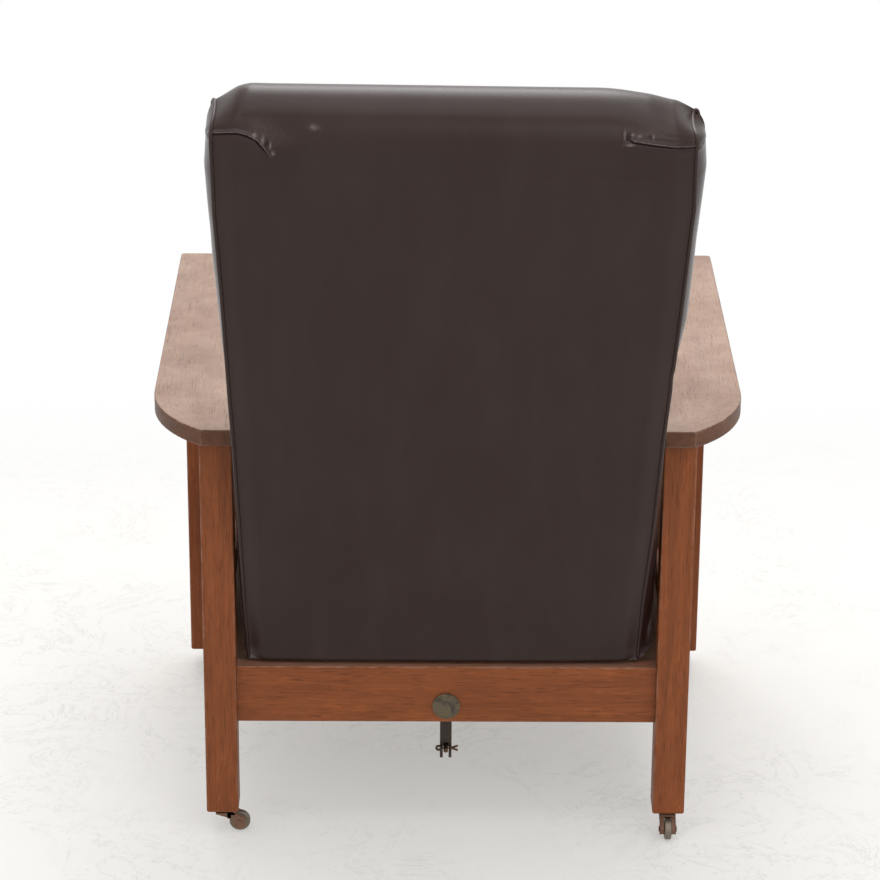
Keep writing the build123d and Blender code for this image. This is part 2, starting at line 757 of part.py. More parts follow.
def band_corners(margin, foot, head):
    """Corners of a band across the back's frame, with a margin beside its sides."""
    return [
        (-frame_half_width(foot) - margin, foot),
        (frame_half_width(foot) + margin, foot),
        (frame_half_width(head) + margin, head),
        (-frame_half_width(head) - margin, head),
    ]


with BuildPart() as back_pad:
    with BuildSketch(back_plane.offset(rear_panel_thickness)):
        with BuildLine():
            Polyline(*half_outline, *mirrored_outline, close=True)
        make_face()
        fillet(vertices().group_by(Axis.Y)[-1], back_roll_rounding)
        fillet(vertices().group_by(Axis.Y)[0], back_foot_rounding)
    extrude(amount=back_thickness + back_crown)
    rear_face = back_pad.faces().sort_by(Axis(back_plane.origin, back_plane.z_dir))[0]
    chamfer(rear_face.edges(), back_edge_softness)
    with BuildSketch(side_plane.offset(-back_wide_half_width - overrun)):
        with BuildLine():
            Line((-overrun, 0), (roll_station, 0))
            ThreePointArc((roll_station, 0), (back_length, roll_radius), (roll_station, back_thickness))
            ThreePointArc(
                (roll_station, back_thickness),
                (roll_station / 2, back_thickness + back_crown),
                (-overrun, back_thickness),
            )
            Line((-overrun, back_thickness), (-overrun, 0))
        make_face()
    extrude(amount=2 * (back_wide_half_width + overrun), mode=Mode.INTERSECT)
    with BuildSketch(back_plane):
        with BuildLine():
            Polyline(*band_corners(soft_clearance, -overrun, frame_top + soft_clearance), close=True)
        make_face()
    extrude(amount=frame_front + back_webbing_thickness + 2 * soft_clearance, mode=Mode.SUBTRACT)
save(back_pad, "back_pad")

# Rear panel: the flat leather between the two rear seams
with BuildPart() as rear_panel:
    with BuildSketch(back_plane):
        with BuildLine():
            Polyline(
                (-seam_half_width(0), 0),
                (seam_half_width(0), 0),
                (seam_half_width(roll_station), roll_station),
                (-seam_half_width(roll_station), roll_station),
                close=True,
            )
        make_face()
        fillet(vertices().group_by(Axis.Y)[0], back_foot_rounding)
    extrude(amount=rear_panel_thickness - joint_clearance)
save(rear_panel, "back_rear_panel")

# Welts along the two rear seams
welt_offset = back_welt_radius + soft_clearance
welt_lift = rear_panel_thickness - back_welt_radius - soft_clearance
for name, side in sides.items():
    seam_foot, seam_top = [
        back_station_point(side * (seam_half_width(station) + welt_offset), station, welt_lift)
        for station in (back_foot_rounding, roll_station - welt_end_margin)
    ]
    with BuildPart() as back_welt:
        with BuildSketch(Plane(origin=seam_foot, z_dir=seam_top - seam_foot)):
            Circle(back_welt_radius)
        extrude(amount=(seam_top - seam_foot).length)
    save(back_welt, f"back_welt_{name}")

# Two tack heads in the hem at the foot of the rear panel
with BuildPart() as hem_tacks:
    with BuildSketch(back_plane):
        with Locations((-hem_tack_spacing / 2, hem_tack_rise), (hem_tack_spacing / 2, hem_tack_rise)):
            Circle(hem_tack_radius)
    extrude(amount=-hem_tack_height)
    tack_tops = hem_tacks.faces().group_by(Axis(back_plane.origin, back_plane.z_dir))[0]
    fillet(tack_tops.edges(), hem_tack_height * tack_dome_share)
save(hem_tacks, "hem_tacks")

# Wooden back frame: two stiles and three cross rails, bored for the screws under the foot rail
hinge_offset = Vector(0, at_depth(hinge_depth), hinge_height)
hinge_local = back_plane.to_local_coords(hinge_offset)
hinge_thickness_place, hinge_station = hinge_local.Z, hinge_local.Y
screw_thickness_place = rear_panel_thickness + back_frame_thickness / 2
lever_screw_places = [-lever_screw_spacing / 2, lever_screw_spacing / 2]


def station_plane(station):
    """A plane square to the back at a station; its Y axis points to the rear."""
    origin = back_station_point(0, station, 0)
    return Plane(origin=origin, x_dir=(1, 0, 0), z_dir=back_plane.y_dir)


with BuildPart() as back_stiles:
    with BuildSketch(back_plane.offset(rear_panel_thickness)):
        for side in (-1, 1):
            with BuildLine():
                Polyline(
                    (side * frame_half_width(back_frame_foot), back_frame_foot),
                    (side * frame_half_width(frame_top), frame_top),
                    (side * (frame_half_width(frame_top) - back_stile_width), frame_top),
                    (side * (frame_half_width(back_frame_foot) - back_stile_width), back_frame_foot),
                    close=True,
                )
            make_face()
    extrude(amount=back_frame_thickness)
    with BuildSketch(station_plane(back_frame_foot)):
        with Locations(*[(x, -screw_thickness_place) for x in hinge_screw_places]):
            Circle(hinge_screw_shank_radius + joint_clearance)
    extrude(amount=hinge_screw_length, mode=Mode.SUBTRACT)
save(back_stiles, "back_stiles")

# The foot rail reaches down in two blocks between the hinges and the lever
foot_block_outer = hinge_middles[1] - knuckle_reach - hinge_pin_head_length - foot_block_clearance
foot_block_inner = lever_flange_length / 2 + foot_block_clearance
foot_block_width = foot_block_outer - foot_block_inner
foot_block_middle = (foot_block_outer + foot_block_inner) / 2
with BuildPart() as back_cross_rails:
    with BuildSketch(back_plane.offset(rear_panel_thickness)):
        for foot in cross_rail_stations:
            with BuildLine():
                Polyline(*band_corners(-back_stile_width, foot, foot + back_cross_rail_height), close=True)
            make_face()
        for side in (-1, 1):
            with Locations((side * foot_block_middle, (back_foot_block_gap + back_frame_foot) / 2)):
                Rectangle(foot_block_width, back_frame_foot - back_foot_block_gap)
    extrude(amount=back_frame_thickness)
    with BuildSketch(station_plane(back_frame_foot)):
        with Locations(*[(x, -screw_thickness_place) for x in lever_screw_places]):
            Circle(lever_screw_shank_radius + joint_clearance)
        with Locations(*[(x, -screw_thickness_place) for x in hinge_screw_places]):
            Circle(hinge_screw_shank_radius + joint_clearance)
    extrude(amount=hinge_screw_length, mode=Mode.SUBTRACT)
save(back_cross_rails, "back_cross_rails")

# Webbing bands across the front of the frame
with BuildPart() as back_webbing:
    with BuildSketch(back_plane.offset(frame_front + joint_clearance)):
        for station in webbing_stations:
            with Locations((0, station)):
                Rectangle(2 * (frame_half_width(station) - back_webbing_margin), back_webbing_width)
    extrude(amount=back_webbing_thickness)
save(back_webbing, "back_webbing")

# Recline hinges: leaves on the rear rail, leaves under the back frame, and their pins
hinge_bore = hinge_pin_radius + hinge_running_clearance
web_top = hinge_height + hinge_knuckle_radius
rail_leaf_bottom = rail_top_height - hinge_leaf_drop
rail_leaf_middle = rear_rail_front_depth + hinge_leaf_thickness / 2
web_run = rear_rail_front_depth + hinge_leaf_thickness - hinge_depth
web_middle = hinge_depth + web_run / 2
with BuildPart() as rail_hinges:
    for middle in hinge_middles:
        with BuildSketch(box_plane(middle, rail_leaf_middle, rail_leaf_bottom)):
            Rectangle(2 * knuckle_reach, hinge_leaf_thickness)
        extrude(amount=web_top - rail_leaf_bottom)
        for end in (-1, 1):
            knuckle_middle = middle + end * knuckle_step
            with BuildSketch(box_plane(knuckle_middle, web_middle, web_top - hinge_leaf_thickness)):
                Rectangle(hinge_knuckle_length, web_run)
            extrude(amount=hinge_leaf_thickness)
            with BuildSketch(Plane.YZ.offset(knuckle_middle - hinge_knuckle_length / 2)):
                with Locations((at_depth(hinge_depth), hinge_height)):
                    Circle(hinge_knuckle_radius)
            extrude(amount=hinge_knuckle_length)
        with BuildSketch(Plane.YZ.offset(middle - knuckle_reach)):
            with Locations((at_depth(hinge_depth), hinge_height)):
                Circle(hinge_bore)
        extrude(amount=2 * knuckle_reach, mode=Mode.SUBTRACT)
    with BuildSketch(Plane.XZ.offset(-at_depth(rear_rail_front_depth))):
        with Locations(*[(x, rail_leaf_screw_height) for x in hinge_screw_places]):
            Circle(hinge_screw_shank_radius + joint_clearance)
    extrude(amount=hinge_leaf_thickness, mode=Mode.SUBTRACT)
save(rail_hinges, "rail_hinges")

with BuildPart() as rail_hinge_screws:
    with BuildSketch(Plane.XZ.offset(-at_depth(rear_rail_front_depth + hinge_leaf_thickness))):
        with Locations(*[(x, rail_leaf_screw_height) for x in hinge_screw_places]):
            Circle(hinge_screw_radius)
    extrude(amount=hinge_screw_head)
    with BuildSketch(Plane.XZ.offset(-at_depth(rear_rail_front_depth + hinge_leaf_thickness))):
        with Locations(*[(x, rail_leaf_screw_height) for x in hinge_screw_places]):
            Circle(hinge_screw_shank_radius)
    extrude(amount=-hinge_screw_length)
save(rail_hinge_screws, "rail_hinge_screws")

with BuildPart() as hinge_pins:
    for middle in hinge_middles:
        with BuildSketch(Plane.YZ.offset(middle - knuckle_reach)):
            with Locations((at_depth(hinge_depth), hinge_height)):
                Circle(hinge_pin_radius)
        extrude(amount=2 * knuckle_reach)
        for start, way in ((middle - knuckle_reach, -1), (middle + knuckle_reach, 1)):
            with BuildSketch(Plane.YZ.offset(start)):
                with Locations((at_depth(hinge_depth), hinge_height)):
                    Circle(hinge_pin_head_radius)
            extrude(amount=way * hinge_pin_head_length)
save(hinge_pins, "hinge_pins")

leaf_station = back_frame_foot - hinge_leaf_thickness
with BuildPart() as back_hinges:
    for middle in hinge_middles:
        with BuildSketch(station_plane(leaf_station)):
            with Locations((middle, -screw_thickness_place)):
                Rectangle(hinge_leaf_width, hinge_leaf_depth)
        extrude(amount=hinge_leaf_thickness)
        with BuildSketch(station_plane(hinge_station)):
            with Locations((middle, -hinge_thickness_place)):
                Rectangle(hinge_knuckle_length, hinge_leaf_thickness)
        extrude(amount=leaf_station - hinge_station)
        with BuildSketch(Plane.YZ.offset(middle - hinge_knuckle_length / 2)):
            with Locations((at_depth(hinge_depth), hinge_height)):
                Circle(hinge_knuckle_radius)
        extrude(amount=hinge_knuckle_length)
        with BuildSketch(Plane.YZ.offset(middle - hinge_knuckle_length / 2)):
            with Locations((at_depth(hinge_depth), hinge_height)):
                Circle(hinge_bore)
        extrude(amount=hinge_knuckle_length, mode=Mode.SUBTRACT)
    with BuildSketch(station_plane(leaf_station)):
        with Locations(*[(x, -screw_thickness_place) for x in hinge_screw_places]):
            Circle(hinge_screw_shank_radius + joint_clearance)
    extrude(amount=hinge_leaf_thickness, mode=Mode.SUBTRACT)
save(back_hinges, "back_hinges")

# Lever bar: a flange under the back frame and a bar that ends in an open fork
flange_station = back_frame_foot - lever_flange_thickness
lever_top = back_station_point(0, back_frame_foot - lever_flange_thickness / 2, lever_station).Z
flange_thickness_place = rear_panel_thickness + back_frame_thickness - lever_flange_depth / 2
with BuildPart() as lever_bar:
    with BuildSketch(station_plane(flange_station)):
        with Locations((0, -flange_thickness_place)):
            Rectangle(lever_flange_length, lever_flange_depth)
    extrude(amount=lever_flange_thickness)
    with BuildSketch(box_plane(0, lever_depth, lever_end_height)):
        Rectangle(lever_width, lever_thickness)
    extrude(amount=lever_top - lever_end_height)
    with BuildSketch(box_plane(0, lever_depth, lever_end_height)):
        Rectangle(fork_slot_width, lever_thickness)
    extrude(amount=rod_height_at_lever + fork_slot_rise - lever_end_height, mode=Mode.SUBTRACT)
    with BuildSketch(station_plane(flange_station)):
        with Locations(*[(x, -screw_thickness_place) for x in lever_screw_places]):
            Circle(lever_screw_shank_radius + joint_clearance)
    extrude(amount=lever_flange_thickness, mode=Mode.SUBTRACT)
save(lever_bar, "lever_bar")

# Screws that hold the lever and the hinge leaves to the back frame
with BuildPart() as back_screws:
    with BuildSketch(station_plane(flange_station)):
        with Locations(*[(x, -screw_thickness_place) for x in lever_screw_places]):
            Circle(lever_screw_radius)
    extrude(amount=-lever_screw_head)
    with BuildSketch(station_plane(flange_station)):
        with Locations(*[(x, -screw_thickness_place) for x in lever_screw_places]):
            Circle(lever_screw_shank_radius)
    extrude(amount=lever_screw_shank)
    with BuildSketch(station_plane(leaf_station)):
        with Locations(*[(x, -screw_thickness_place) for x in hinge_screw_places]):
            Circle(hinge_screw_radius)
    extrude(amount=-hinge_screw_head)
    with BuildSketch(station_plane(leaf_station)):
        with Locations(*[(x, -screw_thickness_place) for x in hinge_screw_places]):
            Circle(hinge_screw_shank_radius)
    extrude(amount=hinge_screw_length)
save(back_screws, "back_screws")

# Draw rod with its cotter pin, collar, return spring and washer
with BuildPart() as draw_rod:
    with BuildSketch(rod_plane.offset(-rod_tail)):
        Circle(rod_radius)
    extrude(amount=rod_tail + rod_reach)
    cotter_origin = rod_plane.offset(-cotter_gap).origin
    with BuildSketch(Plane(origin=cotter_origin, z_dir=(1, 0, 0))):
        Circle(cotter_radius + cotter_clearance)
    extrude(amount=rod_radius + overrun, both=True, mode=Mode.SUBTRACT)
save(draw_rod, "draw_rod")

cotter_plane = Plane(origin=cotter_origin, x_dir=(1, 0, 0), z_dir=rod_plane.z_dir)
eye_middle = rod_radius + overrun + cotter_eye_radius + cotter_radius
leg_start = cotter_plane.from_local_coords(Vector(-cotter_leg_length / 2, 0, 0))
with BuildPart() as cotter_pin:
    with BuildSketch(Plane(origin=leg_start, z_dir=(1, 0, 0))):
        Circle(cotter_radius)
    extrude(amount=cotter_leg_length / 2 + eye_middle - cotter_eye_radius)
    with BuildSketch(cotter_plane.offset(-cotter_flat / 2)):
        with Locations((eye_middle, 0)):
            Circle(cotter_eye_radius + cotter_radius)
            Circle(cotter_eye_radius - cotter_radius, mode=Mode.SUBTRACT)
    extrude(amount=cotter_flat)
    with BuildSketch(cotter_plane.offset(-cotter_flat / 2)):
        with BuildLine():
            Polyline(
                (cotter_radius - cotter_leg_length / 2, -cotter_radius),
                (-cotter_leg_length, -cotter_spread - cotter_radius),
                (-cotter_leg_length, cotter_radius - cotter_spread),
                (-cotter_radius - cotter_leg_length / 2, 0),
                (-cotter_leg_length, cotter_spread - cotter_radius),
                (-cotter_leg_length, cotter_spread + cotter_radius),
                (cotter_radius - cotter_leg_length / 2, cotter_radius),
                close=True,
            )
        make_face()
    extrude(amount=cotter_flat)
save(cotter_pin, "cotter_pin")

with BuildPart() as collar:
    with BuildSketch(rod_plane.offset(collar_gap)):
        Circle(collar_radius)
        Circle(rod_radius + joint_clearance, mode=Mode.SUBTRACT)
    extrude(amount=collar_length)
save(collar, "rod_collar")

spring_margin = return_spring_wire + joint_clearance
spring_start = collar_gap + collar_length + spring_margin
spring_advance = return_spring_length - 2 * spring_margin
return_spring = coil(
    rod_plane.offset(spring_start),
    return_spring_radius,
    return_spring_wire,
    return_spring_turns,
    spring_advance,
)
save(return_spring, "return_spring")
return_spring_gap = self_gap(return_spring_radius, return_spring_wire, return_spring_turns, spring_advance)
print("return spring gap", round(return_spring_gap, 2))

with BuildPart() as spring_washer:
    with BuildSketch(rod_plane.offset(collar_gap + collar_length + return_spring_length)):
        Circle(washer_radius)
        Circle(rod_radius + rod_clearance, mode=Mode.SUBTRACT)
    extrude(amount=washer_thickness)
save(spring_washer, "spring_washer")


def crossbar(name, depth):
    """A board on edge between the side rails, bored along the rod's line."""
    bottom = rod_height(depth) - crossbar_rod_margin
    with BuildPart() as bar:
        with BuildSketch(box_plane(0, depth + crossbar_thickness / 2, bottom)):
            Rectangle(2 * side_rail_inner, crossbar_thickness)
        extrude(amount=crossbar_top - bottom)
        with BuildSketch(rod_plane):
            Circle(rod_radius + rod_clearance)
        extrude(amount=rod_reach + crossbar_thickness, mode=Mode.SUBTRACT)
    save(bar, name)


crossbar("rear_crossbar", rear_crossbar_depth)
crossbar("front_crossbar", front_crossbar_depth)


# Clutch: a fixed jaw and a sliding shoe that grip the rod between them
jaw_face = rod_radius / 2
jaw_run = clutch_length + clutch_gap
jaw_middle_depth = front_crossbar_depth - jaw_run / 2
groove_radius = rod_radius + clutch_grip_clearance
clutch_foot = clutch_rod_height - clutch_height / 2
with BuildPart() as clutch_jaw:
    with BuildSketch(box_plane(-jaw_face - clutch_width / 2, jaw_middle_depth, clutch_foot)):
        Rectangle(clutch_width, jaw_run)
    extrude(amount=clutch_height)
    with BuildSketch(rod_plane):
        Circle(groove_radius)
    extrude(amount=rod_reach, mode=Mode.SUBTRACT)
save(clutch_jaw, "clutch_jaw")

shoe_outer = jaw_face + clutch_width
with BuildPart() as clutch_shoe:
    with BuildSketch(box_plane(jaw_face + clutch_width / 2, clutch_depth, clutch_foot)):
        Rectangle(clutch_width, clutch_length)
    extrude(amount=clutch_height)
    with BuildSketch(rod_plane):
        Circle(groove_radius)
    extrude(amount=rod_reach, mode=Mode.SUBTRACT)
    with BuildSketch(box_plane(shoe_outer - clutch_arm_thickness / 2, clutch_depth, clutch_rod_height)):
        Rectangle(clutch_arm_thickness, clutch_length)
    extrude(amount=release_rod_height + 2 * release_rod_radius - clutch_rod_height)
    with BuildSketch(Plane.YZ.offset(shoe_outer - clutch_arm_thickness)):
        with Locations((at_depth(clutch_depth), release_rod_height)):
            Circle(release_rod_radius + joint_clearance)
    extrude(amount=clutch_arm_thickness, mode=Mode.SUBTRACT)
save(clutch_shoe, "clutch_shoe")

# Push button in the right side rail, with its bushing, spring and release rod
button_face = -side_rail_outer - bushing_flange_thickness - button_travel - button_proud
button_back = button_face + button_length
bushing_floor_face = -side_rail_inner - bushing_floor


def along_x(x):
    """A plane square to X through the release rod's line."""
    return Plane(origin=(x, at_depth(clutch_depth), release_rod_height), z_dir=(1, 0, 0))


with BuildPart() as release_rod:
    with BuildSketch(along_x(button_back)):
        Circle(release_rod_radius)
    extrude(amount=shoe_outer + release_rod_overrun - button_back)
save(release_rod, "release_rod")

with BuildPart() as push_button:
    with BuildSketch(along_x(button_face)):
        Circle(button_radius)
    extrude(amount=button_length)
    fillet(push_button.faces().sort_by(Axis.X)[0].edges(), button_dome)
save(push_button, "push_button")

with BuildPart() as bushing:
    with BuildSketch(along_x(-side_rail_outer)):
        Circle(bushing_outer)
    extrude(amount=rail_thickness)
    with BuildSketch(along_x(-side_rail_outer)):
        Circle(bushing_flange_radius)
    extrude(amount=-bushing_flange_thickness)
    with BuildSketch(along_x(-side_rail_outer - bushing_flange_thickness)):
        Circle(button_radius + button_clearance)
    extrude(amount=bushing_floor_face + side_rail_outer + bushing_flange_thickness, mode=Mode.SUBTRACT)
    with BuildSketch(along_x(bushing_floor_face)):
        Circle(release_rod_radius + button_clearance)
    extrude(amount=bushing_floor, mode=Mode.SUBTRACT)
save(bushing, "release_bushing")

button_spring_margin = button_spring_wire + joint_clearance
button_spring_length = bushing_floor_face - button_back - 2 * button_spring_margin
button_spring = coil(
    along_x(button_back + button_spring_margin),
    button_spring_radius,
    button_spring_wire,
    button_spring_turns,
    button_spring_length,
)
save(button_spring, "button_spring")
button_spring_gap = self_gap(
    button_spring_radius, button_spring_wire, button_spring_turns, button_spring_length
)
print("button spring gap", round(button_spring_gap, 2))

# Casters: socket in the leg, swivelling fork with its axle, and wheel
rear_caster_x = rear_leg_half_span - rear_leg_size / 2
front_caster_x = front_leg_half_span - front_leg_width / 2
front_caster_depth = front_leg_rear_depth + front_leg_depth / 2
caster_places = {
    "rear_left": (rear_caster_x, rear_leg_size / 2),
    "rear_right": (-rear_caster_x, rear_leg_size / 2),
    "front_left": (front_caster_x, front_caster_depth),
    "front_right": (-front_caster_x, front_caster_depth),
}
socket_places = [(x, at_depth(depth)) for x, depth in caster_places.values()]
socket_foot = leg_foot_height - socket_flange_thickness
fork_top = socket_foot - caster_hub_gap
fork_bottom = fork_top - caster_web_thickness
cheek_inner = caster_wheel_width / 2 + caster_cheek_clearance
cheek_outer = cheek_inner + caster_cheek_thickness
stem_bore = caster_stem_radius + caster_clearance

with BuildPart() as caster_sockets:
    with BuildSketch(Plane.XY.offset(socket_foot)):
        with Locations(*socket_places):
            Circle(socket_flange_radius)
    extrude(amount=socket_flange_thickness)
    with BuildSketch(Plane.XY.offset(leg_foot_height)):
        with Locations(*socket_places):
            Circle(stem_bore + socket_wall)
    extrude(amount=caster_stem_length - joint_clearance)
    with BuildSketch(Plane.XY.offset(socket_foot)):
        with Locations(*socket_places):
            Circle(stem_bore)
    extrude(amount=socket_flange_thickness + caster_stem_length, mode=Mode.SUBTRACT)
save(caster_sockets, "caster_sockets")

for name, (x, depth) in caster_places.items():
    heading = radians(caster_headings[name])
    ahead = Vector(cos(heading), sin(heading), 0)
    ground = Plane(origin=(x, at_depth(depth), 0), x_dir=ahead, z_dir=(0, 0, 1))
    across = Plane(origin=ground.origin, x_dir=ahead, z_dir=ground.y_dir * -1)
    with BuildPart() as fork:
        with BuildSketch(ground.offset(fork_bottom)):
            Circle(caster_hub_radius)
            with Locations(((caster_trail + caster_cheek_radius) / 2, 0)):
                Rectangle(caster_trail + caster_cheek_radius, 2 * cheek_outer)
        extrude(amount=caster_web_thickness)
        with BuildSketch(ground.offset(fork_top)):
            Circle(caster_stem_radius)
        extrude(amount=leg_foot_height + caster_stem_length - 2 * socket_flange_thickness - fork_top)
        for start in (cheek_inner, -cheek_outer):
            with BuildSketch(across.offset(start)):
                with BuildLine():
                    Polyline(
                        (caster_hub_radius / 2, fork_top),
                        (caster_trail + caster_cheek_radius, fork_top),
                        (caster_trail + caster_cheek_radius, caster_wheel_radius),
                        (caster_trail - caster_cheek_radius, caster_wheel_radius),
                        close=True,
                    )
                make_face()
                with Locations((caster_trail, caster_wheel_radius)):
                    Circle(caster_cheek_radius)
                    Circle(caster_axle_radius + caster_clearance, mode=Mode.SUBTRACT)
            extrude(amount=caster_cheek_thickness)
    with BuildPart() as axle:
        with BuildSketch(across.offset(-cheek_outer)):
            with Locations((caster_trail, caster_wheel_radius)):
                Circle(caster_axle_radius)
        extrude(amount=2 * cheek_outer)
        for start, way in ((-cheek_outer, -1), (cheek_outer, 1)):
            with BuildSketch(across.offset(start)):
                with Locations((caster_trail, caster_wheel_radius)):
                    Circle(caster_axle_head_radius)
            extrude(amount=way * caster_axle_head)
    with BuildPart() as caster_fork:
        add(fork.part)
        add(axle.part)
    save(caster_fork, f"caster_fork_{name}")
    with BuildPart() as wheel:
        with BuildSketch(across.offset(-caster_wheel_width / 2)):
            with Locations((caster_trail, caster_wheel_radius)):
                Circle(caster_wheel_radius)
                Circle(caster_axle_radius + caster_clearance, mode=Mode.SUBTRACT)
        extrude(amount=caster_wheel_width)
        fillet(wheel.edges().filter_by(GeomType.CIRCLE).group_by(SortBy.RADIUS)[-1], caster_wheel_rounding)
    save(wheel, f"caster_wheel_{name}")
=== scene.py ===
import json
import math

import bmesh
import bpy
import numpy as np
from bpy.props import FloatProperty, FloatVectorProperty, PointerProperty
from bpy.types import Operator, Panel, PropertyGroup
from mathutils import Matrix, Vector, noise

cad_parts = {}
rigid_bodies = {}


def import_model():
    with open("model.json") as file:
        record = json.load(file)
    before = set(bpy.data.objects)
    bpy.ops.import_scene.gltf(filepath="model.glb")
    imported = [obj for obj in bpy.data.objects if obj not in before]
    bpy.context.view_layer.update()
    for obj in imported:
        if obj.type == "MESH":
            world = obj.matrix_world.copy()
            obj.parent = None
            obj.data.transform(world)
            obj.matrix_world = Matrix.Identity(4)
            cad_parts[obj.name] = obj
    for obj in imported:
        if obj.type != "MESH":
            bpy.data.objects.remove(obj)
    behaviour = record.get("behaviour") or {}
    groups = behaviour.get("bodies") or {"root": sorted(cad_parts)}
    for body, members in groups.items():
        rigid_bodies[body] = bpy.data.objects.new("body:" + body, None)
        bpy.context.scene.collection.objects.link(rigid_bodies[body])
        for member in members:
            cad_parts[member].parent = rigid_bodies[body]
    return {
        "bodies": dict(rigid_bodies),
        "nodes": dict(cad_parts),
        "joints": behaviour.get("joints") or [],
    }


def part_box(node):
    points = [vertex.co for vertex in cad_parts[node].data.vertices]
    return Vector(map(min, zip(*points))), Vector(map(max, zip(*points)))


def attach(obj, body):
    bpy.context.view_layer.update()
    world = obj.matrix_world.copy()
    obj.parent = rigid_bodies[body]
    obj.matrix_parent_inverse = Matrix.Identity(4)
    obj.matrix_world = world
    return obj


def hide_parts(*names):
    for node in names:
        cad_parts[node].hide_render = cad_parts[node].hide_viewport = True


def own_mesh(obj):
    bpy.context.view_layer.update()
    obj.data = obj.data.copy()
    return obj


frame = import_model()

bl_info = {
    "name": "Mission reclining armchair",
    "version": (1, 0, 0),
    "blender": (4, 5, 0),
    "location": "3D View > Sidebar > Chair",
    "description": "Upholsters and finishes a mission reclining armchair",
    "category": "Object",
}

# Places that the frame gives, in metres
rear_leg_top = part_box("rear_leg_left")[1]
panel_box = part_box("back_rear_panel")
seat_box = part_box("seat_pad")
border_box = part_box("seat_border")
arm_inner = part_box("arm_left")[0].x

# The back's own axes: across, up its rear face and into its thickness
lean = math.radians(15)
foot_inset = 0.019
back_foot = Vector((0, rear_leg_top.y - foot_inset, panel_box[0].z))
up_back = Vector((0, math.sin(lean), math.cos(lean)))
into_back = Vector((0, -math.cos(lean), math.sin(lean)))

# Sizes of the back, in metres
roll_station = 0.7622  # where the roll starts, up the rear face
roll_radius = 0.0525
roll_tilt = 0.0032  # how far the roll rises towards the left
hem_lip = 0.003  # how far the foot of the rear face stands out
hem_height = 0.018
front_crown = 0.009
rear_depth = 0.075  # how far round the side the rear face's folds may run
arm_clearance = 0.0012
cap_curve = 2.8  # how squarely a cushion's side cap turns in

# Half widths by station, in metres: the rear seam, the widest part beside it, and the top of the roll
left_seam = ((0, 0.252), (0.08, 0.255), (0.2, 0.258), (0.328, 0.2616), (0.401, 0.2645),
             (0.565, 0.270), (0.669, 0.2745), (0.77, 0.2745))
right_seam = ((0, 0.2435), (0.095, 0.2470), (0.2, 0.2545), (0.348, 0.2610), (0.43, 0.2665),
              (0.54, 0.2737), (0.682, 0.2816), (0.777, 0.279))
left_side = ((0, 0.2585), (0.132, 0.2630), (0.331, 0.2655), (0.43, 0.2705), (0.602, 0.2820),
             (0.725, 0.2860), (0.79, 0.2800))
right_side = ((0, 0.2625), (0.087, 0.2635), (0.225, 0.2650), (0.326, 0.2655), (0.43, 0.2700),
              (0.514, 0.2850), (0.726, 0.2955), (0.79, 0.2895))
left_top = 0.2720
right_top = 0.2775

# Fold lines in the rear face at the roll, as (across, length up the face)
left_fold = ((0.2740, 0.7862), (0.2640, 0.7872), (0.2551, 0.7879), (0.2443, 0.7883), (0.2327, 0.7854),
             (0.2219, 0.7795), (0.2134, 0.7690), (0.2040, 0.7530))
right_fold = ((-0.2810, 0.7702), (-0.2650, 0.7717), (-0.2503, 0.7732), (-0.2259, 0.7765),
              (-0.2076, 0.7796), (-0.1976, 0.7860))
# Puckers at the folds' inner ends: across, length, half width, half length and height. Raised puckers are
# painted with a highlight, sunk ones with shade
puckers = (
    (0.2240, 0.7850, 0.0028, 0.0036, 0.0024), (0.2150, 0.7800, 0.0020, 0.0050, 0.0018),
    (0.2065, 0.7735, 0.0016, 0.0040, 0.0022), (0.2035, 0.7640, 0.0022, 0.0030, 0.0016),
    (0.2100, 0.7765, 0.0018, 0.0045, -0.0014), (0.1570, 0.7950, 0.0040, 0.0030, 0.0006),
    (-0.1965, 0.7870, 0.0014, 0.0060, 0.0020), (-0.2010, 0.7850, 0.0018, 0.0040, -0.0016),
    (-0.2056, 0.7878, 0.0020, 0.0022, 0.0013), (-0.2130, 0.7862, 0.0030, 0.0018, 0.0012),
    (-0.2020, 0.7760, 0.0050, 0.0014, 0.0008), (-0.2290, 0.7850, 0.0012, 0.0030, 0.0009),
    (-0.2250, 0.7850, 0.0012, 0.0030, -0.0009),
)


class ChairOakSettings(PropertyGroup):
    """Colours of the oak and of the plain timber"""

    frame_light: FloatVectorProperty(
        name="Frame oak, light", description="Paler bands of the legs and rails", subtype="COLOR",
        default=(0.300, 0.086, 0.026))
    frame_dark: FloatVectorProperty(
        name="Frame oak, dark", description="Darker bands of the legs and rails", subtype="COLOR",
        default=(0.175, 0.048, 0.0135))
    arm_light: FloatVectorProperty(
        name="Arm oak, light", description="Paler bands of the worn arms", subtype="COLOR",
        default=(0.185, 0.080, 0.043))
    arm_dark: FloatVectorProperty(
        name="Arm oak, dark", description="Darker bands of the worn arms", subtype="COLOR",
        default=(0.085, 0.034, 0.017))
    pore: FloatVectorProperty(
        name="Pores", description="Colour of the open pores", subtype="COLOR",
        default=(0.030, 0.013, 0.007))
    dust: FloatVectorProperty(
        name="Dust", description="Pale dust and scratches on upward faces", subtype="COLOR",
        default=(0.520, 0.385, 0.310))
    plain_light: FloatVectorProperty(
        name="Plain timber, light", description="Paler bands of the hidden timber", subtype="COLOR",
        default=(0.300, 0.180, 0.090))
    plain_dark: FloatVectorProperty(
        name="Plain timber, dark", description="Darker bands of the hidden timber", subtype="COLOR",
        default=(0.150, 0.080, 0.036))


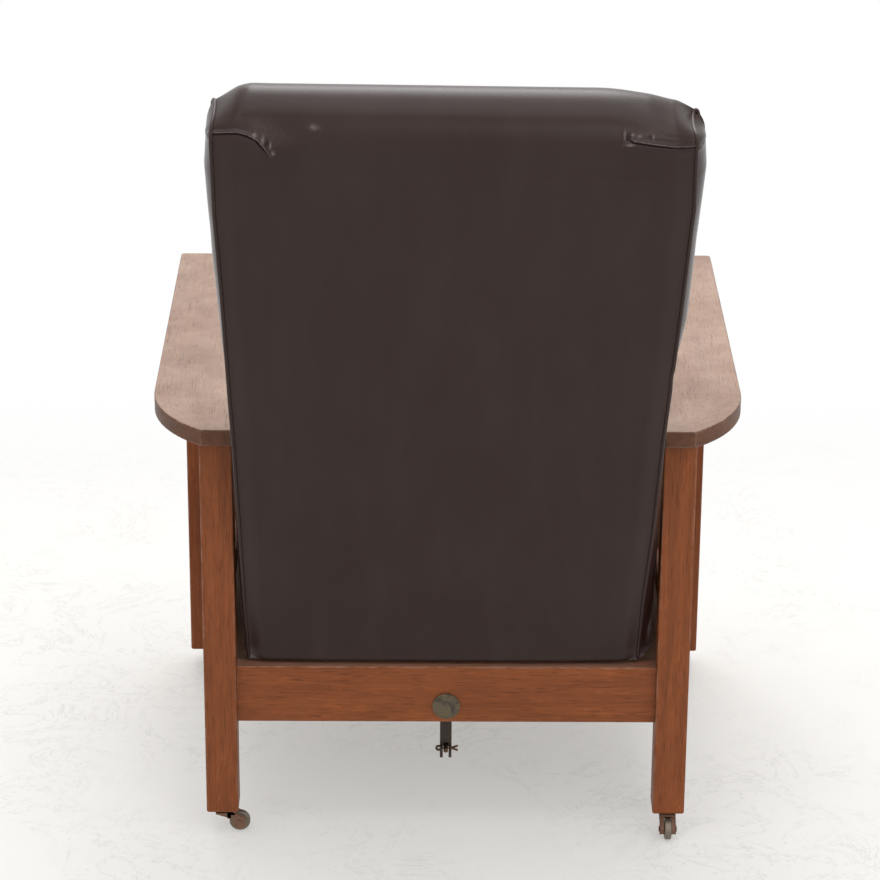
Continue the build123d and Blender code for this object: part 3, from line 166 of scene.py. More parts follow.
class ChairLeatherSettings(PropertyGroup):
    """Colours of the leather and the webbing, and the fullness of the cushions"""

    hide: FloatVectorProperty(
        name="Leather", description="Colour of the leather", subtype="COLOR",
        default=(0.0270, 0.0130, 0.0105))
    # Also the colour of the painted highlights along the folds, on the puckers, and of the faint painted
    # sheen near the roll's corners
    worn: FloatVectorProperty(
        name="Worn leather", description="Colour where the finish is rubbed", subtype="COLOR",
        default=(0.360, 0.300, 0.285))
    # Painted shade: the dark colour laid down in the folds' grooves and in the sunk puckers
    crease_shade: FloatVectorProperty(
        name="Creased leather", description="Colour down in the creases", subtype="COLOR",
        default=(0.010, 0.007, 0.006))
    webbing_light: FloatVectorProperty(
        name="Webbing, light", description="Raised threads of the webbing", subtype="COLOR",
        default=(0.40, 0.29, 0.17))
    webbing_dark: FloatVectorProperty(
        name="Webbing, dark", description="Sunk threads of the webbing", subtype="COLOR",
        default=(0.16, 0.10, 0.05))
    pressure: FloatProperty(
        name="Stuffing", description="Pressure that swells the cushions", default=4.0, min=0)
    back_swell: FloatProperty(
        name="Back swell", description="Most that the back's front may swell", default=0.022,
        min=0, unit="LENGTH")
    seat_swell: FloatProperty(
        name="Seat swell", description="Most that the seat may swell", default=0.022,
        min=0, unit="LENGTH")
    piping_radius: FloatProperty(
        name="Piping radius", description="Radius of the piping along the seams", default=0.0024,
        min=0.0005, unit="LENGTH")
    seat_round: FloatProperty(
        name="Seat corner radius", description="Rounding of the seat's corners", default=0.045,
        min=0.001, unit="LENGTH")


class ChairMetalSettings(PropertyGroup):
    """Colours of the metal parts and the casters"""

    iron: FloatVectorProperty(
        name="Iron", description="Colour of the dark iron", subtype="COLOR",
        default=(0.055, 0.042, 0.034))
    rust: FloatVectorProperty(
        name="Rust", description="Colour of the rust", subtype="COLOR",
        default=(0.230, 0.085, 0.030))
    steel: FloatVectorProperty(
        name="Steel", description="Colour of the bright steel", subtype="COLOR",
        default=(0.550, 0.540, 0.520))
    bronze: FloatVectorProperty(
        name="Bronze", description="Colour of the aged bronze", subtype="COLOR",
        default=(0.145, 0.118, 0.078))
    brass: FloatVectorProperty(
        name="Brass", description="Colour of the button's brass", subtype="COLOR",
        default=(0.42, 0.27, 0.09))
    patina: FloatVectorProperty(
        name="Patina", description="Colour of the bronze's patina", subtype="COLOR",
        default=(0.045, 0.048, 0.036))
    horn: FloatVectorProperty(
        name="Caster horns", description="Colour of the rusty caster horns", subtype="COLOR",
        default=(0.190, 0.100, 0.062))
    wheel: FloatVectorProperty(
        name="Caster wheels", description="Colour of the caster wheels", subtype="COLOR",
        default=(0.200, 0.165, 0.130))


class ChairStageSettings(PropertyGroup):
    """The floor, the camera and the lights"""

    floor: FloatVectorProperty(
        name="Floor", description="Colour of the pale floor", subtype="COLOR",
        default=(0.890, 0.880, 0.855))
    floor_cloud: FloatVectorProperty(
        name="Floor clouds", description="Colour of the floor's faint clouds", subtype="COLOR",
        default=(0.66, 0.65, 0.62))
    floor_vein: FloatVectorProperty(
        name="Floor veins", description="Colour of the floor's fine veins and specks", subtype="COLOR",
        default=(0.50, 0.50, 0.49))
    floor_glow: FloatVectorProperty(
        name="Floor glow", description="Colour that lifts the floor near the chair", subtype="COLOR",
        default=(0.95, 0.93, 0.89))
    focal_length: FloatProperty(
        name="Focal length", description="Focal length of the camera on a 36 mm sensor", default=141.3,
        min=10)
    camera_distance: FloatProperty(
        name="Camera distance", description="From the rear legs back to the camera", default=3.9316,
        min=0.5, unit="LENGTH")
    camera_height: FloatProperty(
        name="Camera height", description="Height of the camera above the floor", default=2.1918,
        min=0.1, unit="LENGTH")
    camera_side: FloatProperty(
        name="Camera side", description="Sideways place of the camera", default=0.0331, unit="LENGTH")
    camera_pitch: FloatProperty(
        name="Camera pitch", description="Downward angle of the camera", default=math.radians(22.582),
        subtype="ANGLE")
    camera_turn: FloatProperty(
        name="Camera turn", description="Sideways angle of the camera", default=math.radians(0.334),
        subtype="ANGLE")
    camera_roll: FloatProperty(
        name="Camera roll", description="Roll of the camera", default=math.radians(0.371),
        subtype="ANGLE")
    sky: FloatProperty(
        name="Sky", description="Strength of the even light all round", default=0.74, min=0)
    overhead: FloatProperty(
        name="Overhead light", description="Power of the wide light above", default=42.0, min=0,
        unit="POWER")
    ahead: FloatProperty(
        name="Front light", description="Power of the light high in front of the chair", default=46.0,
        min=0, unit="POWER")
    behind: FloatProperty(
        name="Rear light", description="Power of the light behind the chair", default=22.0, min=0,
        unit="POWER")


# Node trees and materials
class Tree:
    """Adds the nodes of one tree and joins them."""

    def __init__(self, tree):
        self.tree = tree

    def feed(self, socket, value):
        if isinstance(value, bpy.types.NodeSocket):
            self.tree.links.new(value, socket)
        elif socket.type == "RGBA":
            socket.default_value = (*value[:3], 1)
        else:
            socket.default_value = value

    def node(self, kind, inputs=(), **settings):
        made = self.tree.nodes.new(kind)
        for name, value in settings.items():
            setattr(made, name, value)
        for name, value in dict(inputs).items():
            self.feed(made.inputs[name], value)
        return made

    def sum(self, operation, first, second=0.0, third=0.0):
        made = self.node("ShaderNodeMath", operation=operation)
        for socket, value in zip(made.inputs, (first, second, third)):
            self.feed(socket, value)
        return made.outputs[0]

    def ramp(self, value, low, high, least=0.0, most=1.0):
        made = self.node("ShaderNodeMapRange", interpolation_type="SMOOTHSTEP", inputs={
            "Value": value, "From Min": low, "From Max": high, "To Min": least, "To Max": most})
        return made.outputs[0]

    def mix(self, share, first, second, how="MIX"):
        made = self.node("ShaderNodeMix", data_type="RGBA", blend_type=how)
        for socket, value in ((made.inputs[0], share), (made.inputs[6], first), (made.inputs[7], second)):
            self.feed(socket, value)
        return made.outputs[2]

    def noise(self, vector, scale, detail=2.0, rough=0.5, twist=0.0):
        made = self.node("ShaderNodeTexNoise", inputs={
            "Vector": vector, "Scale": scale, "Detail": detail, "Roughness": rough, "Distortion": twist})
        return made.outputs[0]

    def stretch(self, vector, scale):
        return self.node("ShaderNodeMapping", inputs={"Vector": vector, "Scale": scale}).outputs[0]

    def object_place(self):
        return self.node("ShaderNodeTexCoord").outputs["Object"]

    def vector_sum(self, operation, first, second, output="Vector"):
        made = self.node("ShaderNodeVectorMath", operation=operation)
        self.feed(made.inputs[0], first)
        self.feed(made.inputs[1], second)
        return made.outputs[output]

    def seen_rays(self):
        """1 for rays from the camera, from a glossy surface or through a clear one."""
        rays = self.node("ShaderNodeLightPath").outputs
        return self.sum("MAXIMUM", rays["Is Camera Ray"],
                        self.sum("MAXIMUM", rays["Is Glossy Ray"], rays["Is Transmission Ray"]))

    def blend_to(self, output, share, first, second):
        """Feeds a blend of two shaders to the tree's output."""
        blend = self.node("ShaderNodeMixShader")
        for socket, value in zip(blend.inputs, (share, first, second)):
            self.feed(socket, value)
        self.feed(self.tree.nodes[output].inputs["Surface"], blend.outputs[0])


def group_of(name, inputs, outputs, make):
    """Builds a shader group once, with named sockets, and gives it back after that."""
    if name in bpy.data.node_groups:
        return bpy.data.node_groups[name]
    group = bpy.data.node_groups.new(name, "ShaderNodeTree")
    for label, kind, value in inputs:
        socket = group.interface.new_socket(name=label, in_out="INPUT", socket_type="NodeSocket" + kind)
        if value is not None:
            socket.default_value = value
    for label, kind in outputs:
        group.interface.new_socket(name=label, in_out="OUTPUT", socket_type="NodeSocket" + kind)
    tree = Tree(group)
    given = group.nodes.new("NodeGroupInput").outputs
    taken = group.nodes.new("NodeGroupOutput").inputs
    for label, value in make(tree, given).items():
        tree.feed(taken[label], value)
    return group


def oak_grain():
    """Stained oak whose grain runs along X: streaks, ray flecks, mottling and open pores."""
    def make(t, given):
        place = given["Vector"]
        bend = t.noise(t.stretch(place, (1.3, 7, 7)), 1.0, 2)
        sway = t.node("ShaderNodeCombineXYZ", inputs={
            "Y": t.sum("MULTIPLY", bend, 0.010), "Z": t.sum("MULTIPLY", bend, 0.008)})
        bent = t.vector_sum("ADD", place, sway.outputs[0])
        streak = t.noise(t.stretch(bent, (1.6, 75, 75)), 1.0, 4, 0.65)
        fine = t.noise(t.stretch(bent, (9, 520, 520)), 1.0, 3, 0.6)
        mottle = t.noise(t.stretch(place, (9, 16, 16)), 1.0, 3, 0.6, 0.6)
        ray = t.ramp(t.noise(t.stretch(bent, (38, 120, 120)), 1.0, 1, 0.5, 1.2), 0.60, 0.70)
        pore = t.ramp(t.noise(t.stretch(bent, (34, 760, 760)), 1.0, 2, 0.5), 0.58, 0.68)
        tone = t.sum("ADD", t.ramp(streak, 0.30, 0.70, 0, 0.52), t.ramp(mottle, 0.25, 0.75, 0, 0.48))
        shade = t.mix(tone, given["Dark"], given["Light"])
        shade = t.mix(t.ramp(fine, 0.35, 0.65, 0.42, 0), shade, given["Dark"])
        paler = (1.28, 1.26, 1.22)
        lighter = t.mix(1.0, shade, paler, "MULTIPLY")
        shade = t.mix(t.sum("MULTIPLY", ray, given["Rays"]), shade, lighter)
        shade = t.mix(t.sum("MULTIPLY", pore, given["Pores"]), shade, given["Pore"])
        height = t.sum("SUBTRACT", t.sum("MULTIPLY", fine, 0.35), pore)
        rough = t.sum("ADD", t.ramp(streak, 0.3, 0.7, 0.40, 0.52), t.sum("MULTIPLY", pore, 0.2))
        return {"Color": shade, "Roughness": rough, "Height": height, "Tone": tone}

    return group_of("Oak grain", (
        ("Vector", "Vector", None), ("Light", "Color", (0.3, 0.12, 0.05, 1)),
        ("Dark", "Color", (0.12, 0.04, 0.02, 1)), ("Pore", "Color", (0.03, 0.01, 0.01, 1)),
        ("Rays", "Float", 0.6), ("Pores", "Float", 0.7),
    ), (("Color", "Color"), ("Roughness", "Float"), ("Height", "Float"), ("Tone", "Float")), make)


def edge_wear():
    """How near a point is to a worn corner, broken up by noise."""
    def make(t, given):
        geometry = t.node("ShaderNodeNewGeometry")
        round_normal = t.node("ShaderNodeBevel", inputs={"Radius": given["Radius"]}, samples=4)
        facing = t.vector_sum("DOT_PRODUCT", geometry.outputs["Normal"], round_normal.outputs[0], "Value")
        edge = t.ramp(facing, 0.998, 0.90)
        patch = t.ramp(t.noise(given["Vector"], 55, 4, 0.6), 0.38, 0.62)
        return {"Mask": t.sum("MULTIPLY", edge, patch)}

    return group_of("Edge wear", (("Vector", "Vector", None), ("Radius", "Float", 0.003)),
                    (("Mask", "Float"),), make)


def dust_settling():
    """Dust and fine scratches that lie on upward faces."""
    def make(t, given):
        geometry = t.node("ShaderNodeNewGeometry")
        split = t.node("ShaderNodeSeparateXYZ", inputs={"Vector": geometry.outputs["Normal"]})
        up = t.ramp(split.outputs["Z"], 0.55, 0.95)
        cloud = t.ramp(t.noise(given["Vector"], 11, 5, 0.62), 0.30, 0.70, 0.58, 1.0)
        speck = t.ramp(t.noise(given["Vector"], 420, 2, 0.5), 0.42, 0.62, 0.85, 1.0)
        return {"Mask": t.sum("MULTIPLY", up, t.sum("MULTIPLY", cloud, speck))}

    return group_of("Dust settling", (("Vector", "Vector", None),), (("Mask", "Float"),), make)


def leather_grain():
    """Fine pebbled leather with soft blotches and faint draw lines."""
    def make(t, given):
        place = given["Vector"]
        cells = t.node("ShaderNodeTexVoronoi", feature="DISTANCE_TO_EDGE", inputs={
            "Vector": place, "Scale": given["Cells"], "Randomness": 1.0})
        pebble = t.ramp(cells.outputs["Distance"], 0.0, 0.22)
        fine = t.noise(place, 2200, 2, 0.5)
        cloud = t.noise(place, 7, 4, 0.55)
        drawn = t.noise(t.stretch(place, (26, 26, 2.2)), 1.0, 3, 0.55)
        height = t.sum("ADD", t.sum("MULTIPLY", pebble, 0.6), t.sum("MULTIPLY", fine, 0.4))
        rough = t.sum("ADD", t.ramp(cloud, 0.3, 0.7, 0.255, 0.265), t.ramp(drawn, 0.3, 0.7, -0.005, 0.005))
        return {"Height": height, "Roughness": rough, "Cloud": cloud, "Drawn": drawn}

    return group_of("Leather grain", (("Vector", "Vector", None), ("Cells", "Float", 900.0)), (
        ("Height", "Float"), ("Roughness", "Float"), ("Cloud", "Float"), ("Drawn", "Float")), make)


def rusting():
    """Patches of rust and grime with a pitted height."""
    def make(t, given):
        place = given["Vector"]
        patch = t.noise(place, 75, 6, 0.66, 0.4)
        pits = t.noise(place, 900, 3, 0.6)
        return {"Mask": t.ramp(patch, given["From"], t.sum("ADD", given["From"], 0.16)),
                "Height": t.sum("ADD", patch, t.sum("MULTIPLY", pits, 0.5)), "Pits": pits}

    return group_of("Rusting", (("Vector", "Vector", None), ("From", "Float", 0.5)),
                    (("Mask", "Float"), ("Height", "Float"), ("Pits", "Float")), make)


def new_material(name):
    """A fresh material, its tree and its main shader."""
    material = bpy.data.materials.new(name)
    material.use_nodes = True
    tree = Tree(material.node_tree)
    return material, tree, material.node_tree.nodes["Principled BSDF"]


def place_group(tree, group, **inputs):
    """Puts a shader group into a material with its own values."""
    made = tree.node("ShaderNodeGroup", node_tree=group)
    for name, value in inputs.items():
        tree.feed(made.inputs[name], value)
    return made.outputs


def board_places(tree, axis, shift):
    """Object coordinates turned so that the grain's axis comes first, and moved for each board."""
    place = tree.object_place()
    split = tree.node("ShaderNodeSeparateXYZ", inputs={"Vector": place}).outputs
    order = {"X": "XYZ", "Y": "YXZ", "Z": "ZXY"}[axis]
    island = tree.node("ShaderNodeNewGeometry").outputs["Random Per Island"]
    far = tree.sum("MULTIPLY_ADD", island, 3.7, shift)
    turned = tree.node("ShaderNodeCombineXYZ", inputs={
        "X": tree.sum("ADD", split[order[0]], far), "Y": split[order[1]],
        "Z": tree.sum("ADD", split[order[2]], tree.sum("MULTIPLY", far, 0.13))})
    return turned.outputs[0], place


def oak_board(name, axis, shift, light, dark, settings, dusty, rays=0.55, pores=0.6, wear=0.7):
    """Oak with its grain along one axis. Dusty, rays, pores and wear say how much of each shows."""
    wear_radius, corner_radius = 0.0035, 0.0022
    material, t, shader = new_material(name)
    along, place = board_places(t, axis, shift)
    grain = place_group(t, oak_grain(), Vector=along, Light=light, Dark=dark, Pore=settings.pore,
                        Rays=rays, Pores=pores)
    worn = place_group(t, edge_wear(), Vector=place, Radius=wear_radius)
    dust = place_group(t, dust_settling(), Vector=place)
    pale = t.mix(0.55, grain["Color"], settings.dust)
    shade = t.mix(t.sum("MULTIPLY", worn["Mask"], wear), grain["Color"], pale)
    open_pores = t.ramp(grain["Height"], -0.75, -0.25, 0.74, 1.0)
    lying = t.sum("MULTIPLY", dust["Mask"], t.ramp(grain["Tone"], 0.2, 0.8, 0.9 * dusty, dusty))
    shade = t.mix(t.sum("MULTIPLY", lying, open_pores), shade, settings.dust)
    bump = t.node("ShaderNodeBump", inputs={
        "Height": grain["Height"], "Strength": 0.35, "Distance": 0.0006,
        "Normal": t.node("ShaderNodeBevel", inputs={"Radius": corner_radius}, samples=4).outputs[0]})
    t.feed(shader.inputs["Base Color"], shade)
    t.feed(shader.inputs["Roughness"], t.sum("MULTIPLY_ADD", dust["Mask"], 0.25 * dusty, grain["Roughness"]))
    t.feed(shader.inputs["Normal"], bump.outputs[0])
    shader.inputs["Specular IOR Level"].default_value = 0.22
    return material


def hide_material(name, settings, cells=900.0, crease_shade=True):
    """Dark leather, with painted shade in its creases, and paler where it is rubbed and where highlights are
    painted.
    """
    material, t, shader = new_material(name)
    place = t.object_place()
    grain = place_group(t, leather_grain(), Vector=place, Cells=cells)
    shade = t.mix(t.ramp(grain["Cloud"], 0.35, 0.65, 0.0, 0.008), settings.hide, settings.worn)
    shade = t.mix(t.ramp(grain["Drawn"], 0.40, 0.75, 0.0, 0.010), shade, settings.worn)
    rough = grain["Roughness"]
    if crease_shade:
        # Paler where the leather is worn and where highlights are painted along the folds and on the puckers
        wear_and_highlight = t.node("ShaderNodeAttribute", attribute_name="wear_and_highlight").outputs["Fac"]
        sunk = t.node("ShaderNodeAttribute", attribute_name="sunk").outputs["Fac"]
        broken = t.ramp(t.noise(place, 320, 4, 0.65), 0.40, 0.60)
        patchy_wear_and_highlight = t.sum("MULTIPLY", wear_and_highlight, t.sum("MULTIPLY_ADD", broken, 0.5, 0.5))
        shade = t.mix(patchy_wear_and_highlight, shade, settings.worn)
        # Painted shade down in the folds' grooves and the sunk puckers
        shade = t.mix(t.sum("MULTIPLY", sunk, 0.8), shade, settings.crease_shade)
        rough = t.sum("MULTIPLY_ADD", wear_and_highlight, 0.10, rough)
    bump = t.node("ShaderNodeBump", inputs={
        "Height": grain["Height"], "Strength": 0.16, "Distance": 0.0003})
    t.feed(shader.inputs["Base Color"], shade)
    t.feed(shader.inputs["Roughness"], rough)
    t.feed(shader.inputs["Normal"], bump.outputs[0])
    shader.inputs["Specular IOR Level"].default_value = 0.24
    shader.inputs["Sheen Weight"].default_value = 0.04
    shader.inputs["Sheen Roughness"].default_value = 0.25
    return material


def rusty_metal(name, bright, settings, start=0.5, rough=0.45, metallic=0.85, rust=None):
    """Metal with rust or patina in patches and paler worn edges. A lower start spreads the rust."""
    material, t, shader = new_material(name)
    place = t.object_place()
    spots = place_group(t, rusting(), Vector=place, From=start)
    worn = place_group(t, edge_wear(), Vector=place, Radius=0.0012)
    deep_rust = (0.05, 0.026, 0.014)
    brighter = (2.2, 2.1, 2.0)
    second = t.mix(spots["Pits"], settings.rust if rust is None else rust, deep_rust)
    shade = t.mix(spots["Mask"], bright, second)
    polished = t.mix(1.0, bright, brighter, "MULTIPLY")
    shade = t.mix(t.sum("MULTIPLY", worn["Mask"], 0.5), shade, polished)
    bump = t.node("ShaderNodeBump", inputs={
        "Height": spots["Height"], "Strength": 0.35, "Distance": 0.0005})
    t.feed(shader.inputs["Base Color"], shade)
    t.feed(shader.inputs["Metallic"], t.sum("MULTIPLY", t.sum("SUBTRACT", 1.0, spots["Mask"]), metallic))
    t.feed(shader.inputs["Roughness"], t.sum("MULTIPLY_ADD", spots["Mask"], 0.35, rough))
    t.feed(shader.inputs["Normal"], bump.outputs[0])
    return material


def dress(material, *nodes):
    """Gives CAD nodes their finish."""
    for name in nodes:
        slots = frame["nodes"][name].data.materials
        for number in range(len(slots)):
            slots[number] = material


# Meshes
def new_piece(name, points, faces, material, edges=()):
    """A mesh piece at the origin."""
    mesh = bpy.data.meshes.new(name)
    mesh.from_pydata([tuple(p) for p in points], list(edges), list(faces))
    mesh.materials.append(material)
    piece = bpy.data.objects.new(name, mesh)
    bpy.context.scene.collection.objects.link(piece)
    return piece


def places_of(mesh):
    """The mesh's points as rows of x, y and z."""
    flat = np.zeros(len(mesh.vertices) * 3)
    mesh.vertices.foreach_get("co", flat)
    return flat.reshape(-1, 3)


def normals_of(mesh):
    """The directions in which the mesh's points face."""
    flat = np.zeros(len(mesh.vertices) * 3)
    mesh.vertex_normals.foreach_get("vector", flat)
    return flat.reshape(-1, 3)


def move_to(mesh, places):
    mesh.vertices.foreach_set("co", places.ravel())
    mesh.update()


def numbers_of(mesh, name):
    """The whole numbers that an attribute keeps for each point."""
    values = np.zeros(len(mesh.vertices), dtype=np.int32)
    mesh.attributes[name].data.foreach_get("value", values)
    return values


def keep_numbers(mesh, name, values, kind="FLOAT"):
    """Keeps one value for each point in an attribute."""
    layer = mesh.attributes.get(name) or mesh.attributes.new(name, kind, "POINT")
    layer.data.foreach_set("value", values)


def evaluated_mesh(piece):
    """The piece's mesh with its modifiers worked in."""
    graph = bpy.context.evaluated_depsgraph_get()
    graph.update()
    return bpy.data.meshes.new_from_object(piece.evaluated_get(graph), depsgraph=graph)


def settle_modifiers(piece):
    """Replaces the piece's mesh by its evaluated one and drops the modifiers."""
    made = evaluated_mesh(piece)
    old = piece.data
    piece.modifiers.clear()
    piece.data = made
    bpy.data.meshes.remove(old)


def smooth_faces(piece):
    piece.data.polygons.foreach_set("use_smooth", [True] * len(piece.data.polygons))


def refine(piece):
    """One level of subdivision, worked into the mesh."""
    rounder = piece.modifiers.new("Rounder", "SUBSURF")
    rounder.levels = 1
    rounder.render_levels = 1
    settle_modifiers(piece)
    smooth_faces(piece)


def close_seams(piece, gap=0.00002):
    """Merges doubled points and turns every face outward."""
    work = bmesh.new()
    work.from_mesh(piece.data)
    bmesh.ops.remove_doubles(work, verts=work.verts, dist=gap)
    bmesh.ops.recalc_face_normals(work, faces=work.faces)
    work.to_mesh(piece.data)
    work.free()


def swell(piece, pressure, limit, share, pinned):
    """A short cloth simulation fills the cushion. No point moves further than its share of the limit."""
    start = places_of(piece.data)
    holding = piece.vertex_groups.new(name="held")
    holding.add([int(n) for n in np.nonzero(pinned)[0]], 1.0, "REPLACE")
    cloth = piece.modifiers.new("Stuffing", "CLOTH")
    cloth.settings.quality = 5
    cloth.settings.mass = 0.3
    cloth.settings.tension_stiffness = 15
    cloth.settings.compression_stiffness = 15
    cloth.settings.shear_stiffness = 5
    cloth.settings.bending_stiffness = 0.5
    cloth.settings.use_pressure = True
    cloth.settings.uniform_pressure_force = pressure
    cloth.settings.effector_weights.gravity = 0
    cloth.settings.vertex_group_mass = "held"
    scene = bpy.context.scene
    last_step = 20
    for step in range(1, last_step + 1):
        scene.frame_set(step)
    swollen = places_of(evaluated_mesh(piece))
    piece.modifiers.clear()
    piece.vertex_groups.clear()
    scene.frame_set(1)
    moved = swollen - start
    length = np.linalg.norm(moved, axis=1)
    allowed = limit * (1 - np.exp(-length / limit))
    moved *= (share * allowed / np.maximum(length, 1e-9))[:, None]
    move_to(piece.data, start + moved)


def ease(value, low, high):
    """A smooth step from 0 at low to 1 at high."""
    share = np.clip((value - low) / (high - low), 0, 1)
    return share * share * (3 - 2 * share)


def along_table(station, table):
    """The width that a table of stations and widths gives at a station."""
    stations, widths = zip(*table)
    return np.interp(station, stations, widths)


def bell(value, middle, spread):
    """A smooth rise to 1 at the middle that dies away over the spread."""
    return np.exp(-(((value - middle) / spread) ** 2))


def spaced(start, end, step):
    """Evenly spaced values from start up to, not including, end."""
    count = max(1, round(abs(end - start) / step))
    return [start + (end - start) * n / count for n in range(count)]


def cushion_shell(name, material, count, across, place, inner, rings, marks):
    """A closed shell: rows run round the cushion's side, columns across it, and rings close both sides.
    Each point keeps the number of its row in its side's mark where it lies on the seam."""
    wide = len(across)
    points = [place(row, v) for row in range(count) for v in across]
    seam = {side: [0] * len(points) for side in marks}
    faces = []
    for row in range(count):
        below = (row + 1) % count
        for column in range(wide - 1):
            faces.append((row * wide + column, row * wide + column + 1,
                          below * wide + column + 1, below * wide + column))
    for side, column in ((1, wide - 1), (-1, 0)):
        before = [row * wide + column for row in range(count)]
        for row, index in enumerate(before):
            seam[side][index] = row + 1
        edge_points = [Vector(points[index]) for index in before]
        for share in rings:
            bulge = 1 - (1 - share) ** cap_curve
            ring = []
            for row, edge in enumerate(edge_points):
                target = Vector(inner(row, side))
                spot = edge.lerp(target, share)
                spot.x = edge.x + (target.x - edge.x) * bulge
                ring.append(len(points))
                points.append(tuple(spot))
            for row in range(count):
                below = (row + 1) % count
                quad = (before[row], ring[row], ring[below], before[below])
                faces.append(quad if side > 0 else quad[::-1])
            before = ring
    piece = new_piece(name, points, faces, material)
    for side, mark in marks.items():
        values = seam[side] + [0] * (len(points) - len(seam[side]))
        keep_numbers(piece.data, mark, values, "INT")
    return piece


def seam_line(piece, mark, rows):
    """The places of the seam's points, in the order of their rows."""
    numbers = numbers_of(piece.data, mark)
    places = places_of(piece.data)
    found = {int(number): places[index] for index, number in enumerate(numbers) if number > 0}
    return [found[row + 1] for row in rows if row + 1 in found]


# Geometry node trees
def geometry_tree(name, sizes, make):
    """Builds a geometry tree once. Its named inputs are sizes, numbers and a material."""
    if name in bpy.data.node_groups:
        return bpy.data.node_groups[name]
    group = bpy.data.node_groups.new(name, "GeometryNodeTree")
    group.interface.new_socket(name="Geometry", in_out="INPUT", socket_type="NodeSocketGeometry")
    for label, kind in sizes:
        group.interface.new_socket(name=label, in_out="INPUT", socket_type="NodeSocket" + kind)
    group.interface.new_socket(name="Material", in_out="INPUT", socket_type="NodeSocketMaterial")
    group.interface.new_socket(name="Geometry", in_out="OUTPUT", socket_type="NodeSocketGeometry")
    tree = Tree(group)
    given = group.nodes.new("NodeGroupInput").outputs
    taken = group.nodes.new("NodeGroupOutput").inputs
    made = make(tree, given)
    loose = tree.node("GeometryNodeRealizeInstances", inputs={"Geometry": made}).outputs[0]
    finish = tree.node("GeometryNodeSetMaterial", inputs={"Geometry": loose, "Material": given["Material"]})
    tree.feed(taken["Geometry"], finish.outputs[0])
    return group


def tube_tree():
    """A round tube along the edges of the mesh it is given."""
    def make(t, given):
        path = t.node("GeometryNodeMeshToCurve", inputs={"Mesh": given["Geometry"]}).outputs[0]
        ring = t.node("GeometryNodeCurvePrimitiveCircle", inputs={
            "Resolution": given["Sides"], "Radius": given["Radius"]}).outputs[0]
        tube = t.node("GeometryNodeCurveToMesh", inputs={
            "Curve": path, "Profile Curve": ring, "Fill Caps": True}).outputs[0]
        return t.node("GeometryNodeSetShadeSmooth", inputs={"Geometry": tube}).outputs[0]

    return geometry_tree("Tube along a line", (("Radius", "Float"), ("Sides", "Int")), make)


def coil_tree():
    """A coil spring with closed ends, standing on Z."""
    def make(t, given):
        spiral = t.node("GeometryNodeCurveSpiral", inputs={
            "Resolution": 28, "Rotations": given["Turns"], "Start Radius": given["Foot radius"],
            "End Radius": given["Top radius"], "Height": given["Height"]}).outputs[0]
        ring = t.node("GeometryNodeCurvePrimitiveCircle", inputs={
            "Resolution": 8, "Radius": given["Wire"]}).outputs[0]
        wire = t.node("GeometryNodeCurveToMesh", inputs={
            "Curve": spiral, "Profile Curve": ring, "Fill Caps": True}).outputs[0]
        return t.node("GeometryNodeSetShadeSmooth", inputs={"Geometry": wire}).outputs[0]

    return geometry_tree("Coil spring", (
        ("Turns", "Float"), ("Foot radius", "Float"), ("Top radius", "Float"), ("Height", "Float"),
        ("Wire", "Float")), make)


def grown(name, points, tree, material, **sizes):
    """A piece that a geometry tree makes from a line of points."""
    edges = [(n, n + 1) for n in range(len(points) - 1)]
    piece = new_piece(name, points, (), material, edges)
    grower = piece.modifiers.new("Grower", "NODES")
    grower.node_group = tree
    sizes["Material"] = material
    for item in tree.interface.items_tree:
        if item.in_out == "INPUT" and item.name in sizes:
            grower[item.identifier] = sizes[item.name]
    settle_modifiers(piece)
    return piece


def turned(piece, place, along):
    """Turns a piece that stands on Z to lie along a direction from a place, in its mesh."""
    turn = Vector((0, 0, 1)).rotation_difference(Vector(along)).to_matrix().to_4x4()
    turn.translation = Vector(place)
    piece.data.transform(turn)
    return piece


def joined(name, pieces):
    """One piece out of several."""
    work = bmesh.new()
    for piece in pieces:
        work.from_mesh(piece.data)
    mesh = bpy.data.meshes.new(name)
    work.to_mesh(mesh)
    work.free()
    mesh.materials.append(pieces[0].data.materials[0])
    for piece in pieces:
        bpy.data.objects.remove(piece)
    made = bpy.data.objects.new(name, mesh)
    bpy.context.scene.collection.objects.link(made)
    smooth_faces(made)
    return made


def coil(name, turns, radius, height, thick, finish):
    """A straight coil spring that stands on Z."""
    return grown(name, [(0, 0, 0), (0, 0, 0.001)], coil_tree(), finish, **{
        "Turns": turns, "Foot radius": radius, "Top radius": radius, "Height": height, "Wire": thick})


def slab(columns, levels, place):
    """Points and faces of a thin closed panel. Place gives a point's spot by its side, level and column."""
    span = columns + 1
    side = (levels + 1) * span
    points = [place(face, level, column)
              for face in (0, 1) for level in range(levels + 1) for column in range(span)]
    faces = []
    for face in (0, 1):
        for level in range(levels):
            for column in range(columns):
                first = face * side + level * span + column
                quad = (first, first + 1, first + span + 1, first + span)
                faces.append(quad[::-1] if face else quad)
    rim = (list(range(span)) + [level * span + columns for level in range(1, levels + 1)]
           + [levels * span + column for column in range(columns - 1, -1, -1)]
           + [level * span for level in range(levels - 1, 0, -1)])
    for first, second in zip(rim, rim[1:] + rim[:1]):
        faces.append((first, first + side, second + side, second))
    return points, faces


